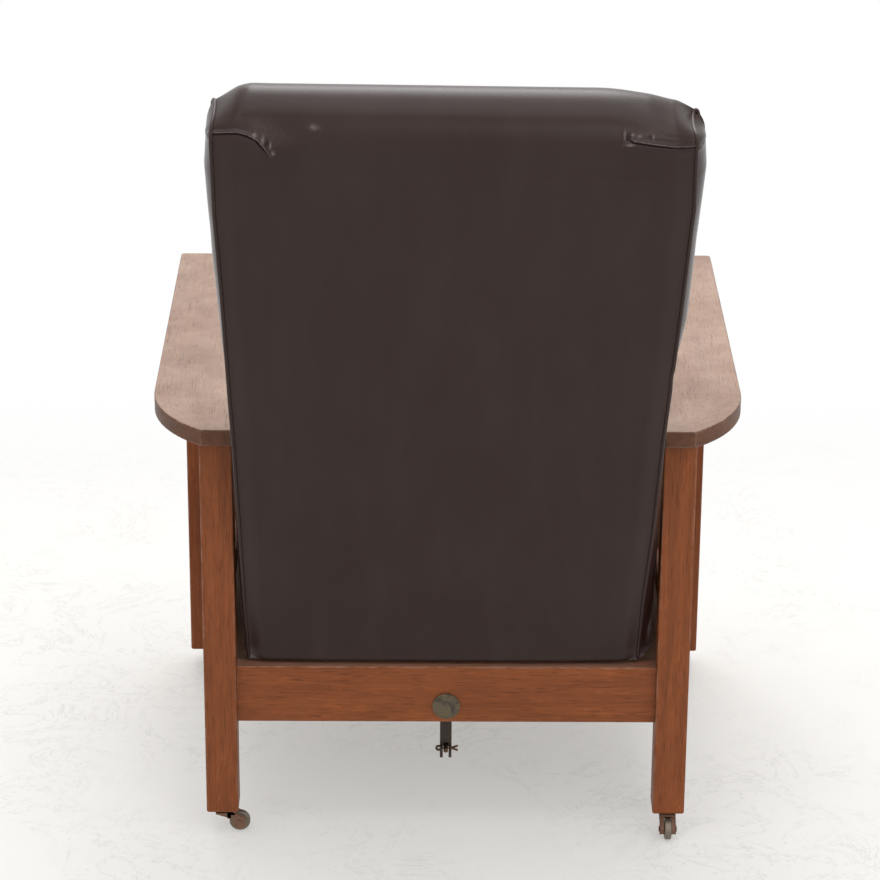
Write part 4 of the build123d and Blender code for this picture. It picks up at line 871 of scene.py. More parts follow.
# The leather back
def back_rows():
    """Rows round the back's side: kind, turn round the roll, station up the face and depth."""
    foot_end, roll_near = 0.03, 0.66
    fine, middling, coarse = 0.003, 0.005, 0.0085
    stations = (spaced(0, foot_end, middling) + spaced(foot_end, roll_near, coarse)
                + spaced(roll_near, roll_station, fine))
    thickness = 2 * roll_radius
    rows = [("rear", 0, station, 0.0) for station in stations]
    for angle in spaced(0, math.pi, fine / roll_radius):
        rows.append(("roll", angle, roll_station, roll_radius))
    rows.append(("front", 0, roll_station, thickness))
    rows += [("front", 0, station, thickness) for station in reversed(stations)]
    under = (0.097, 0.086, 0.074, 0.062, 0.050, 0.040, 0.0362, 0.0346, 0.027, 0.015,
             0.0044, 0.0036, 0.0018)
    rows += [("foot", 0, 0.0, depth) for depth in under]
    return rows


def half_width(kind, turn, station, depth, side):
    """Half the back's width along the loop that its two side seams follow."""
    front_draw = 0.006
    left = (left_seam, left_side, left_top)
    right = (right_seam, right_side, right_top)
    seam, beside, top = left if side > 0 else right
    rear = along_table(station, seam)
    front = along_table(station, beside) - front_draw
    if kind == "rear":
        return rear
    if kind == "front":
        return front
    if kind == "foot":
        return rear + (front - rear) * depth / (2 * roll_radius)
    share = turn / math.pi
    return (1 - share) * rear + share * front + (top - (rear + front) / 2) * math.sin(turn) ** 2


def roll_shrink(far, side):
    """The share of its radius by which the roll draws in towards its ends."""
    if side > 0:
        shoulder = 0.33 * ease(far, 0.83, 1.02)
        nip = 0.22 * (max(0.0, far - 0.90) / 0.10) ** 1.2
    else:
        shoulder = 0.33 * ease(far, 0.60, 1.03) + 0.07 * ease(far, 0.80, 0.94)
        nip = 0.28 * (max(0.0, far - 0.92) / 0.08) ** 1.3
    return shoulder + nip


def back_place(row, v):
    """A point of the back's shell, in the back's own axes."""
    kind, turn, station, depth = row
    side = 1 if v >= 0 else -1
    x = v * half_width(kind, turn, station, depth, side)
    far = abs(v)
    edge_fall = 0.007 * ease(far, 0.90, 1.0) + 0.002 * ease(far, 0.5, 1.0)
    if kind == "rear":
        return x, station, edge_fall - hem_lip * (1 - ease(station, 0.0, hem_height))
    shrink = roll_shrink(far, side)
    if kind == "roll":
        drop = edge_fall * (1 + math.cos(turn)) / 2
        reach = roll_radius * (1 - shrink * math.sin(turn)) * math.sin(turn)
        tilt = roll_tilt * v * math.sin(turn)
        forward = roll_radius * math.cos(turn) * (1 - shrink * max(0.0, -math.cos(turn)))
        return x, roll_station + reach + tilt, roll_radius - forward + drop
    if kind == "front":
        under_roll = bell(station, roll_station, 0.08)
        crown = front_crown * (1 - (2 * station / roll_station - 1) ** 2)
        edge = 0.010 * ease(far, 0.88, 1.0) * (1 - under_roll)
        sunk = roll_radius * shrink * under_roll
        return x, station, depth + crown * (1 - 0.5 * far ** 4) - edge - sunk
    pocket_rear, pocket_front, pocket_side, pocket_height = 0.004, 0.0350, 0.231, 0.0225
    hollow = pocket_rear < depth < pocket_front and abs(x) < pocket_side
    return x, pocket_height if hollow else 0.0, depth


def back_inner(row, side):
    """Where a row's side cap runs in to."""
    lowest = 0.004
    station = min(max(row[2], lowest), roll_station)
    beside = left_side if side > 0 else right_side
    return side * along_table(station, beside), station, roll_radius


def world_of(places):
    """From the back's own axes to the room's."""
    foot, up, into = (np.array(v) for v in (back_foot, up_back, into_back))
    return foot + places[:, :1] * np.array((1, 0, 0)) + places[:, 1:2] * up + places[:, 2:3] * into


def back_of(places):
    """From the room's axes to the back's own."""
    foot, up, into = (np.array(v) for v in (back_foot, up_back, into_back))
    off = places - foot
    return np.stack((off[:, 0], off @ up, off @ into), axis=1)


def up_the_face(local):
    """How far up the rear face and round the roll a point lies."""
    turn = np.arctan2(local[:, 1] - roll_station, roll_radius - local[:, 2])
    return np.where(local[:, 1] > roll_station, roll_station + roll_radius * turn, local[:, 1])


def fold_field(across, length, fold):
    """Signed distance to a fold line, above it positive, and the share of its length."""
    points = np.array(fold)
    best = np.full(len(across), 1e9)
    signed = np.zeros(len(across))
    share = np.zeros(len(across))
    here = np.stack((across, length), axis=1)
    for number in range(len(points) - 1):
        start, end = points[number], points[number + 1]
        run = end - start
        along = np.clip(((here - start) @ run) / (run @ run), 0, 1)
        off = here - (start + along[:, None] * run)
        gap = np.linalg.norm(off, axis=1)
        cross = run[0] * off[:, 1] - run[1] * off[:, 0]
        nearer = gap < best
        best = np.where(nearer, gap, best)
        signed = np.where(nearer, np.sign(cross) * np.sign(run[0]) * gap, signed)
        share = np.where(nearer, (number + along) / (len(points) - 1), share)
    return signed, share


def rear_face(local):
    """Which points lie on the rear face or the roll."""
    return (local[:, 2] < rear_depth) | (local[:, 1] > roll_station)


def finer_at_folds(piece):
    """Splits the faces about the folds, so that the creases come out sharp."""
    work = bmesh.new()
    work.from_mesh(piece.data)
    work.faces.ensure_lookup_table()
    work.edges.ensure_lookup_table()
    reach = 0.013
    local = back_of(np.array([face.calc_center_median() for face in work.faces]))
    length = up_the_face(local)
    near = np.zeros(len(local), dtype=bool)
    for fold in (left_fold, right_fold):
        gap = np.abs(fold_field(local[:, 0], length, fold)[0])
        near |= (gap < reach) & rear_face(local)
    split = sorted({edge.index for number in np.nonzero(near)[0] for edge in work.faces[int(number)].edges})
    bmesh.ops.subdivide_edges(work, edges=[work.edges[number] for number in split], cuts=1,
                              use_grid_fill=True)
    work.to_mesh(piece.data)
    work.free()
    smooth_faces(piece)


def crease_back(piece):
    """Folds, puckers and faint ridges of the rear face, and the marks its leather reads: rubbed wear,
    painted highlights and painted shade in the creases.
    """
    places = places_of(piece.data)
    local = back_of(places)
    across = local[:, 0]
    length = up_the_face(local)
    rear = rear_face(local)
    height = np.zeros(len(places))
    wear_and_highlight = np.zeros(len(places))
    sunk = np.zeros(len(places))
    reach = 0.03
    for fold, lift, depth in ((left_fold, 0.0024, 0.0030), (right_fold, 0.0021, 0.0028)):
        signed, share = fold_field(across, length, fold)
        strength = ease(share, 1.0, 0.80) * (0.75 + 0.25 * ease(share, 0.2, 0.6))
        strength *= rear * (np.abs(signed) < reach)
        # The lip over the fold, its groove, and the soft swell below and above, as rise, place and spread
        for rise, middle, spread in ((lift, 0.0022, 0.0020), (-depth, -0.0008, 0.0009),
                                     (0.0009, -0.0075, 0.0050), (0.0007, 0.0110, 0.0060)):
            height += strength * rise * bell(signed, middle, spread)
        # Painted shade down in the fold's groove, and a painted highlight along its lip
        sunk = np.maximum(sunk, strength * bell(signed, -0.0008, 0.0008))
        wear_and_highlight = np.maximum(wear_and_highlight, 0.60 * strength * bell(signed, 0.0010, 0.0007))
    for x, up, wide, tall, lift in puckers:
        bump = bell(across, x, wide) * bell(length, up, tall) * rear
        height += lift * bump
        # Raised puckers get a painted highlight, sunk ones painted shade
        if lift > 0:
            wear_and_highlight = np.maximum(wear_and_highlight, 0.4 * bump)
        else:
            sunk = np.maximum(sunk, 0.7 * bump)
    frame_ridge, ridge_station = 0.0005, 0.7305
    inside = rear * ease(np.abs(across), 0.27, 0.24)
    height += frame_ridge * bell(length, ridge_station, 0.003) * inside
    slack, rear_share, front_share = 0.0007, 0.4, 1.7
    for number, spot in enumerate(places):
        wave = noise.noise(Vector((spot[0] * 5.0, spot[1] * 5.0, spot[2] * 3.0)))
        height[number] += slack * wave * (rear_share if rear[number] else front_share)
    scratch = bell(across, -0.2370, 0.0100) * bell(length, 0.4535, 0.0007) * rear
    corners = bell(np.abs(across), 0.2500, 0.0080) * bell(length, 0.0, 0.0100) * rear
    for worn_spot in (scratch, corners):
        wear_and_highlight = np.maximum(wear_and_highlight, 0.35 * worn_spot)
    # Faint painted sheen about the folds' inner ends, near the roll's corners
    for x, up in ((0.2220, 0.7970), (0.2000, 0.7830), (-0.2250, 0.7900)):
        wear_and_highlight += 0.06 * bell(across, x, 0.022) * bell(length, up, 0.011) * rear
    move_to(piece.data, places + normals_of(piece.data) * height[:, None])
    keep_numbers(piece.data, "wear_and_highlight", wear_and_highlight)
    keep_numbers(piece.data, "sunk", sunk)


def keep_clear_of_arms(places, local):
    """Holds the sides of the back between the arms, up to where the back rises above them."""
    freed, arm_foot, arm_head = 0.05, 0.44, 0.56
    limit = arm_inner - arm_clearance + freed * ease(local[:, 1], arm_foot, arm_head)
    places[:, 0] = np.sign(places[:, 0]) * np.minimum(np.abs(places[:, 0]), limit)
    return places


# The operators, and the helpers of each
class CHAIR_OT_oak(Operator):
    """Finishes the oak frame, the arms and the hidden timber"""

    bl_idname = "chair.oak"
    bl_label = "Oak and plain timber"

    def execute(self, context):
        oak = context.scene.chair_oak
        arm_dust, arm_pores = 0.77, 0.35
        frame_dust, frame_pores = 0.34, 0.4
        hidden_dust = 0.3
        # Node, direction of its grain, and how far its grain is moved along
        boards = (
            ("arm_left", "Y", 0.3), ("arm_right", "Y", 1.1), ("front_leg_left", "Z", 2.0),
            ("front_leg_right", "Z", 2.7), ("rear_leg_left", "Z", 3.1), ("rear_leg_right", "Z", 3.9),
            ("rear_rail", "X", 4.2), ("front_rail", "X", 5.3), ("side_rail_left", "Y", 6.1),
            ("side_rail_right", "Y", 6.9), ("side_slats_left", "Z", 7.7), ("side_slats_right", "Z", 8.3),
        )
        for name, axis, shift in boards:
            light, dark, dusty, pores = oak.frame_light, oak.frame_dark, frame_dust, frame_pores
            if name.startswith("arm"):
                light, dark, dusty, pores = oak.arm_light, oak.arm_dark, arm_dust, arm_pores
            finish = oak_board("Oak " + name.replace("_", " "), axis, shift, light, dark, oak,
                               dusty, pores=pores)
            dress(finish, name)
        plugs = oak_board("Oak plugs", "Z", 9.4, oak.arm_light, oak.arm_dark, oak, hidden_dust)
        dress(plugs, "arm_dowels")
        timber = (
            ("X", 0.4, ("front_crossbar", "rear_crossbar", "seat_box_front", "seat_box_rear",
                        "spring_bars", "back_cross_rails")),
            ("Y", 1.7, ("seat_box_left", "seat_box_right", "seat_cleats")),
            ("Z", 2.9, ("back_stiles",)),
        )
        for axis, shift, nodes in timber:
            finish = oak_board("Plain timber " + axis, axis, shift, oak.plain_light, oak.plain_dark, oak,
                               hidden_dust, rays=0.1, pores=0.25, wear=0.3)
            dress(finish, *nodes)
        return {"FINISHED"}


class CHAIR_OT_metal(Operator):
    """Finishes the iron, steel, brass and bronze"""

    bl_idname = "chair.metal"
    bl_label = "Metal parts"

    def execute(self, context):
        metal = context.scene.chair_metal
        iron = rusty_metal("Dark iron", metal.iron, metal, start=0.56)
        rusty = rusty_metal("Rusty iron", metal.iron, metal, start=0.44, rough=0.5)
        steel = rusty_metal("Bright steel", metal.steel, metal, start=0.66, rough=0.3, metallic=1.0)
        brass = rusty_metal("Brass", metal.brass, metal, start=0.52, rough=0.35, metallic=1.0,
                            rust=metal.patina)
        bronze = rusty_metal("Aged bronze", metal.bronze, metal, start=0.46, rough=0.42, metallic=0.9,
                             rust=metal.patina)
        dress(iron, "lever_bar", "rail_hinges", "back_hinges", "hinge_pins", "clutch_jaw", "clutch_shoe",
              "release_rod", "spring_washer", "rod_collar", "back_screws", "rail_hinge_screws")
        dress(rusty, "draw_rod", "cotter_pin", "caster_sockets")
        dress(steel, "hem_tacks")
        dress(brass, "push_button", "release_bushing")
        dress(bronze, "badge_disc", "badge_pins")
        return {"FINISHED"}


class CHAIR_OT_back(Operator):
    """Builds the leather back with its roll, side bands, folds and piping"""

    bl_idname = "chair.back"
    bl_label = "Leather back"

    def execute(self, context):
        leather = context.scene.chair_leather
        rows = back_rows()
        # Columns as shares of the half width, close together near the sides
        left = spaced(0.70, 1.0, 0.0105) + [1.0]
        right = [-v for v in reversed(left)]
        across = right + spaced(-0.66, 0.70, 0.036) + left
        rings = [0.045, 0.11, 0.19, 0.28, 0.38, 0.49, 0.61, 0.74, 0.87, 1.0]
        piece = cushion_shell(
            "back_cover", hide_material("Back leather", leather), len(rows), across,
            lambda row, v: back_place(rows[row], v), lambda row, side: back_inner(rows[row], side),
            rings, {1: "seam_left", -1: "seam_right"})
        close_seams(piece)
        local = places_of(piece.data)
        move_to(piece.data, world_of(local))
        self.stuff(piece, local, leather)
        places = places_of(piece.data)
        move_to(piece.data, keep_clear_of_arms(places, back_of(places)))
        seamed = [number for number, row in enumerate(rows) if row[0] in ("rear", "roll")]
        lines = {side: seam_line(piece, "seam_" + side, seamed) for side in ("left", "right")}
        refine(piece)
        finer_at_folds(piece)
        crease_back(piece)
        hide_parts("back_pad", "back_rear_panel")
        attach(piece, "back")
        trim = hide_material("Piping leather", leather, 1400.0, crease_shade=False)
        for side, line in lines.items():
            pipe = grown("back_piping_" + side, line, tube_tree(), trim,
                         Radius=leather.piping_radius, Sides=10)
            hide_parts("back_welt_" + side)
            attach(pipe, "back")
        return {"FINISHED"}

    def stuff(self, piece, local, leather):
        """Swells the front of the back, and holds its foot, its rear face and the roll."""
        held_foot, held_skin, held_side = 0.03, 0.004, 0.24
        rear_share, roll_hold = 0.12, 0.94
        held = (local[:, 1] < held_foot) | (
            (local[:, 2] < held_skin) & (np.abs(local[:, 0]) < held_side))
        share = rear_share + (1 - rear_share) * ease(local[:, 2], 0.050, 0.095)
        share *= ease(local[:, 1], 0.0, 0.12)
        share *= 1 - roll_hold * ease(local[:, 1], roll_station - 0.14, roll_station)
        swell(piece, leather.pressure, leather.back_swell, share, held)


class CHAIR_OT_webbing(Operator):
    """Weaves the bands across the back's frame"""

    bl_idname = "chair.webbing"
    bl_label = "Back webbing"

    def execute(self, context):
        local = back_of(places_of(frame["nodes"]["back_webbing"].data))
        levels = np.unique(np.round(local[:, 1], 4))
        rear, front = local[:, 2].min(), local[:, 2].max()
        end_gap, most_sag = 0.004, 0.0006
        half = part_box("back_webbing")[1].x - end_gap
        columns, steps = 24, 6
        points, faces = [], []
        for low, high in zip(levels[0::2], levels[1::2]):
            def place(face, level, column):
                x = half * (2 * column / columns - 1)
                station = low + (high - low) * level / steps
                sag = most_sag * math.sin(math.pi * column / columns)
                depth = front if face else rear - sag
                return tuple(world_of(np.array([[x, station, depth]]))[0])

            band, quads = slab(columns, steps, place)
            faces += [tuple(len(points) + number for number in quad) for quad in quads]
            points += band
        piece = new_piece("webbing_bands", points, faces, self.weave(context.scene.chair_leather))
        close_seams(piece)
        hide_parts("back_webbing")
        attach(piece, "back")
        return {"FINISHED"}

    def weave(self, leather):
        """Crossed threads of a coarse natural webbing."""
        material, t, shader = new_material("Woven webbing")
        place = t.object_place()
        threads = [
            t.node("ShaderNodeTexWave", wave_type="BANDS", bands_direction=direction, inputs={
                "Vector": place, "Scale": 260, "Distortion": wander, "Detail": 2}).outputs["Fac"]
            for direction, wander in (("Z", 1.5), ("X", 1.0))]
        thread = t.sum("MULTIPLY", *threads)
        bump = t.node("ShaderNodeBump", inputs={"Height": thread, "Distance": 0.0005})
        shade = t.mix(thread, leather.webbing_dark, leather.webbing_light)
        t.feed(shader.inputs["Base Color"], shade)
        t.feed(shader.inputs["Normal"], bump.outputs[0])
        shader.inputs["Roughness"].default_value = 0.9
        return material


def seat_rows(low, high):
    """Rows round the seat cushion's side: kind, place along and height."""
    step, turn_in = 0.0075, 0.004
    front, rear = low.y + 0.006, high.y - 0.004
    bottom, top = low.z + 0.0005, high.z - 0.012
    depths = spaced(front + turn_in, rear - turn_in, step) + [rear - turn_in]
    heights = spaced(bottom, top, step)
    rows = [("under", y, bottom) for y in depths]
    rows += [("rear", rear, z) for z in heights[1:]]
    rows += [("top", y, top) for y in reversed(depths)]
    rows += [("front", front, z) for z in reversed(heights[1:])]
    return rows


def seat_crumple(spot, low, high):
    """How far a point of the seat's leather rises, by its slack and by its gathers along the edges."""
    x, y, z = spot
    slack, gather, gather_reach = 0.0016, 0.0007, 0.022
    rise = slack * noise.noise(Vector((x * 7, y * 9, z * 12)))
    edge = min(abs(x - low.x), abs(high.x - x), abs(y - low.y), abs(high.y - y))
    ripple = math.sin(x * 190 + 2.5 * noise.noise(Vector((x * 30, y * 30, 0))))
    ripple += math.sin(y * 170 + 2.0 * noise.noise(Vector((y * 30, x * 30, 5))))
    return rise + gather * ripple * math.exp(-edge / gather_reach)


class CHAIR_OT_seat(Operator):
    """Builds the stuffed seat cushion"""

    bl_idname = "chair.seat"
    bl_label = "Seat cushion"

    def execute(self, context):
        leather = context.scene.chair_leather
        low, high = seat_box
        rows = seat_rows(low, high)
        side_inset, cap_inset, crown_height = 0.008, 0.045, 0.012
        half = high.x - side_inset
        middle = (low.z + high.z) / 2
        corner = leather.seat_round
        columns = 36

        def place(row, v):
            kind, y, z = rows[row]
            gap = min(y - low.y, high.y - y)
            pull = corner * (1 - math.sqrt(max(0.0, 1 - max(0.0, 1 - gap / corner) ** 2)))
            along = (2 * y - low.y - high.y) / (high.y - low.y)
            crown = crown_height * (1 - v ** 4) * max(0.0, 1 - along ** 4)
            return v * (half - pull), y, z + (crown if kind == "top" else 0)

        def inner(row, side):
            return side * half, min(max(rows[row][1], low.y + cap_inset), high.y - cap_inset), middle

        piece = cushion_shell(
            "seat_cushion", hide_material("Seat leather", leather), len(rows),
            [v / columns for v in range(-columns, columns + 1)], place, inner,
            [0.08, 0.17, 0.28, 0.41, 0.56, 0.74, 1.0], {1: "seam_left", -1: "seam_right"})
        close_seams(piece)
        start = places_of(piece.data)
        held = start[:, 2] < low.z + 0.002
        swell(piece, leather.pressure, leather.seat_swell, np.ones(len(start)), held)
        self.keep_in_box(piece, low, high)
        refine(piece)
        places = places_of(piece.data)
        flat_foot = low.z + 0.004
        height = np.array([seat_crumple(spot, low, high) if spot[2] > flat_foot else 0.0
                           for spot in places])
        move_to(piece.data, places + normals_of(piece.data) * height[:, None])
        keep_numbers(piece.data, "wear_and_highlight", 0.04 * ease(places[:, 2], high.z - 0.01, high.z + 0.02))
        keep_numbers(piece.data, "sunk", np.zeros(len(places)))
        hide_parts("seat_pad")
        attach(piece, "frame")
        return {"FINISHED"}

    def keep_in_box(self, piece, low, high):
        """Holds the cushion off the springs, the side slats and the back."""
        side_give, front_give, foot_gap = 0.002, 0.006, 0.0003
        places = places_of(piece.data)
        places[:, 2] = np.maximum(places[:, 2], low.z + foot_gap)
        places[:, 0] = np.clip(places[:, 0], low.x - side_give, high.x + side_give)
        places[:, 1] = np.clip(places[:, 1], low.y - front_give, high.y)
        move_to(piece.data, places)


class CHAIR_OT_border(Operator):
    """Covers the front of the seat box with a padded leather band"""

    bl_idname = "chair.border"
    bl_label = "Seat border"

    def execute(self, context):
        low, high = border_box
        columns, levels = 90, 14
        edge_depth, ripple_height = 0.0022, 0.0004

        def place(face, level, column):
            x = low.x + (high.x - low.x) * column / columns
            z = low.z + (high.z - low.z) * level / levels
            puff = math.sin(math.pi * level / levels) ** 0.6
            puff *= math.sin(math.pi * column / columns) ** 0.25
            ripple = ripple_height * noise.noise(Vector((x * 60, z * 25, 3)))
            return x, high.y if face else low.y + edge_depth * (1 - puff) + ripple * puff, z

        points, faces = slab(columns, levels, place)
        finish = hide_material("Border leather", context.scene.chair_leather, crease_shade=False)
        piece = new_piece("seat_border_leather", points, faces, finish)
        close_seams(piece)
        smooth_faces(piece)
        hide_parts("seat_border")
        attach(piece, "frame")
        return {"FINISHED"}


def joint_of(name):
    return next(joint for joint in frame["joints"] if joint["name"] == name)


def travel_of(joint):
    return max(abs(limit) for limit in joint["range_m"])


class CHAIR_OT_springs(Operator):
    """Winds the seat springs, the return spring and the button's spring"""

    bl_idname = "chair.springs"
    bl_label = "Coil springs"

    def execute(self, context):
        metal = context.scene.chair_metal
        wire = rusty_metal("Spring wire", metal.steel, metal, start=0.60, rough=0.35, metallic=1.0)
        self.wind_seat(wire)
        self.wind_return(wire)
        self.wind_button(wire)
        return {"FINISHED"}

    def wind_seat(self, wire):
        low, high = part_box("seat_springs")
        radius, thick, turns = 0.030, 0.0019, 3.0
        left = low.x + radius + thick
        front = low.y + radius + thick
        rear = high.y - radius - thick
        coils = [turned(coil("spring", turns, radius, high.z - low.z - 2 * thick, thick, wire),
                        (x, y, low.z + thick), (0, 0, 1))
                 for x in (left, 0.0, -left) for y in (front, (front + rear) / 2, rear)]
        seat = joined("seat_coils", coils)
        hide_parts("seat_springs")
        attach(seat, "frame")

    def wind_return(self, wire):
        """The spring on the draw rod, between its washer and its collar."""
        slide = joint_of("rod_slide")
        along = Vector(slide["axis"])
        low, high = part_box("return_spring")
        outer, thick, turns = 0.006, 0.0008, 20.0
        edge = Vector((0, outer * abs(along.z), -outer * abs(along.y)))
        rear_end = Vector((0, high.y, low.z)) - edge
        front_end = Vector((0, low.y, high.z)) + edge
        run = (front_end - rear_end).length
        spring = coil("return_coil", turns, outer - thick, run - 2 * thick, thick, wire)
        turned(spring, rear_end + along * thick, along)
        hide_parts("return_spring")
        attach(spring, "frame")
        (run - travel_of(slide)) / run
        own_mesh(spring)

    def wind_button(self, wire):
        """The spring behind the push button."""
        low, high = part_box("button_spring")
        middle = (low + high) / 2
        outer, thick, turns = (high.y - low.y) / 2, 0.0006, 4.0
        run = high.x - low.x
        spring = coil("button_coil", turns, outer - thick, run - 2 * thick, thick, wire)
        turned(spring, (low.x + thick, middle.y, middle.z), (1, 0, 0))
        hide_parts("button_spring")
        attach(spring, "frame")
        travel = travel_of(joint_of("button_press"))
        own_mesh(spring)


# Sizes of a caster horn, in metres
cheek_thick = 0.0054
wheel_gap = 0.0006
lid_depth = 0.0024
hub_radius = 0.0090
stem_radius = 0.0040
pin_radius = 0.0030
pin_proud = 0.0012
bearing_gap = 0.0003
heel = -0.0085


def cheek_outline(top, axle_place, axle_height):
    """A caster cheek from its broad top to the rounded eye about the axle, as places along and up."""
    shoulder, toe, eye, steps = 0.0045, 0.0070, 0.0070, 12
    outline = [(heel, top - shoulder), (heel, top), (toe, top)]
    for step in range(steps + 1):
        angle = math.radians(55 - 290 * step / steps)
        outline.append((axle_place + eye * math.cos(angle), axle_height + eye * math.sin(angle)))
    return outline


def lid_outline(top, foot):
    """The horn's lid, which turns down over the wheel at its toe."""
    return [(heel, top - lid_depth), (heel, top), (0.0080, top), (0.0138, top - 0.0028),
            (0.0142, foot), (0.0118, foot), (0.0070, top - lid_depth)]


def web_outline(top, foot):
    """The plate that joins the cheeks over the wheel."""
    return [(0.0064, foot - 0.0058), (0.0064, top), (0.0088, top), (0.0088, foot - 0.0055)]


def prism(first, last, finish):
    """A closed solid between two like outlines of points."""
    count = len(first)
    faces = [tuple(range(count)), tuple(range(2 * count - 1, count - 1, -1))]
    faces += [(n, (n + 1) % count, count + (n + 1) % count, count + n) for n in range(count)]
    return new_piece("part", list(first) + list(last), faces, finish)


def ring_of(middle, first, second, radius, sides=20):
    """Points of a ring about a middle, in the plane of two directions."""
    angles = [2 * math.pi * n / sides for n in range(sides)]
    return [middle + first * radius * math.cos(angle) + second * radius * math.sin(angle)
            for angle in angles]


def tread_half(low, high, trail, radius):
    """Half a wheel's width, from its box and the way it points."""
    straight = min(abs(trail.x), abs(trail.y)) < 0.01
    if straight:
        return 0.5 * min(high.x - low.x, high.y - low.y)
    return 0.5 * (high.x - low.x - 2 * radius * abs(trail.x)) / abs(trail.y)


class CHAIR_OT_casters(Operator):
    """Forms the caster horns and finishes the wheels"""

    bl_idname = "chair.casters"
    bl_label = "Casters"

    def execute(self, context):
        metal = context.scene.chair_metal
        horn_finish = rusty_metal("Rusty horn", metal.horn, metal, start=0.50, rough=0.55, metallic=0.35)
        wheel_finish = rusty_metal("Worn wheel", metal.wheel, metal, start=0.58, rough=0.42, metallic=0.6)
        for end in ("rear_left", "rear_right", "front_left", "front_right"):
            dress(wheel_finish, "caster_wheel_" + end)
            stem = Vector(joint_of("swivel_" + end)["pos_m"])
            axle = Vector(joint_of("spin_" + end)["pos_m"])
            self.form_horn(end, stem, axle, horn_finish)
        return {"FINISHED"}

    def form_horn(self, end, stem, axle, finish):
        """Two cheeks, a lid, a web, a hub, a stem and the axle's pin, made one piece."""
        trail = Vector((axle.x - stem.x, axle.y - stem.y, 0))
        reach = trail.length
        trail.normalize()
        across = Vector((-trail.y, trail.x, 0))
        up = Vector((0, 0, 1))
        foot = Vector((stem.x, stem.y, 0))
        low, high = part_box("caster_wheel_" + end)
        tread = tread_half(low, high, trail, high.z - axle.z)
        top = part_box("caster_sockets")[0].z - bearing_gap
        lid_top = top - bearing_gap
        width = tread + wheel_gap + cheek_thick

        def plate(outline, near, far):
            first, last = ([foot + trail * along + up * level + across * offset for along, level in outline]
                           for offset in (near, far))
            return prism(first, last, finish)

        cheek = cheek_outline(lid_top, reach, axle.z)
        pieces = [plate(cheek, way * (tread + wheel_gap), way * width) for way in (-1, 1)]
        pieces.append(plate(lid_outline(lid_top, high.z - 0.0006), -width, width))
        pieces.append(plate(web_outline(top - 0.0020, high.z), -width, width))
        stem_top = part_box("caster_fork_" + end)[1].z
        for radius, level in ((hub_radius, top), (stem_radius, stem_top)):
            rings = (ring_of(foot + up * height, trail, across, radius)
                     for height in (top - lid_depth, level))
            pieces.append(prism(*rings, finish))
        pin = (ring_of(axle + across * way * (width + pin_proud), trail, up, pin_radius)
               for way in (-1, 1))
        pieces.append(prism(*pin, finish))
        horn = joined("caster_horn_" + end, pieces)
        edge = horn.modifiers.new("Edge", "BEVEL")
        edge.width = 0.0014
        edge.segments = 2
        settle_modifiers(horn)
        close_seams(horn, 0.000001)
        horn.data.polygons.foreach_set("use_smooth", [False] * len(horn.data.polygons))
        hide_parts("caster_fork_" + end)
        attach(horn, "caster_" + end)


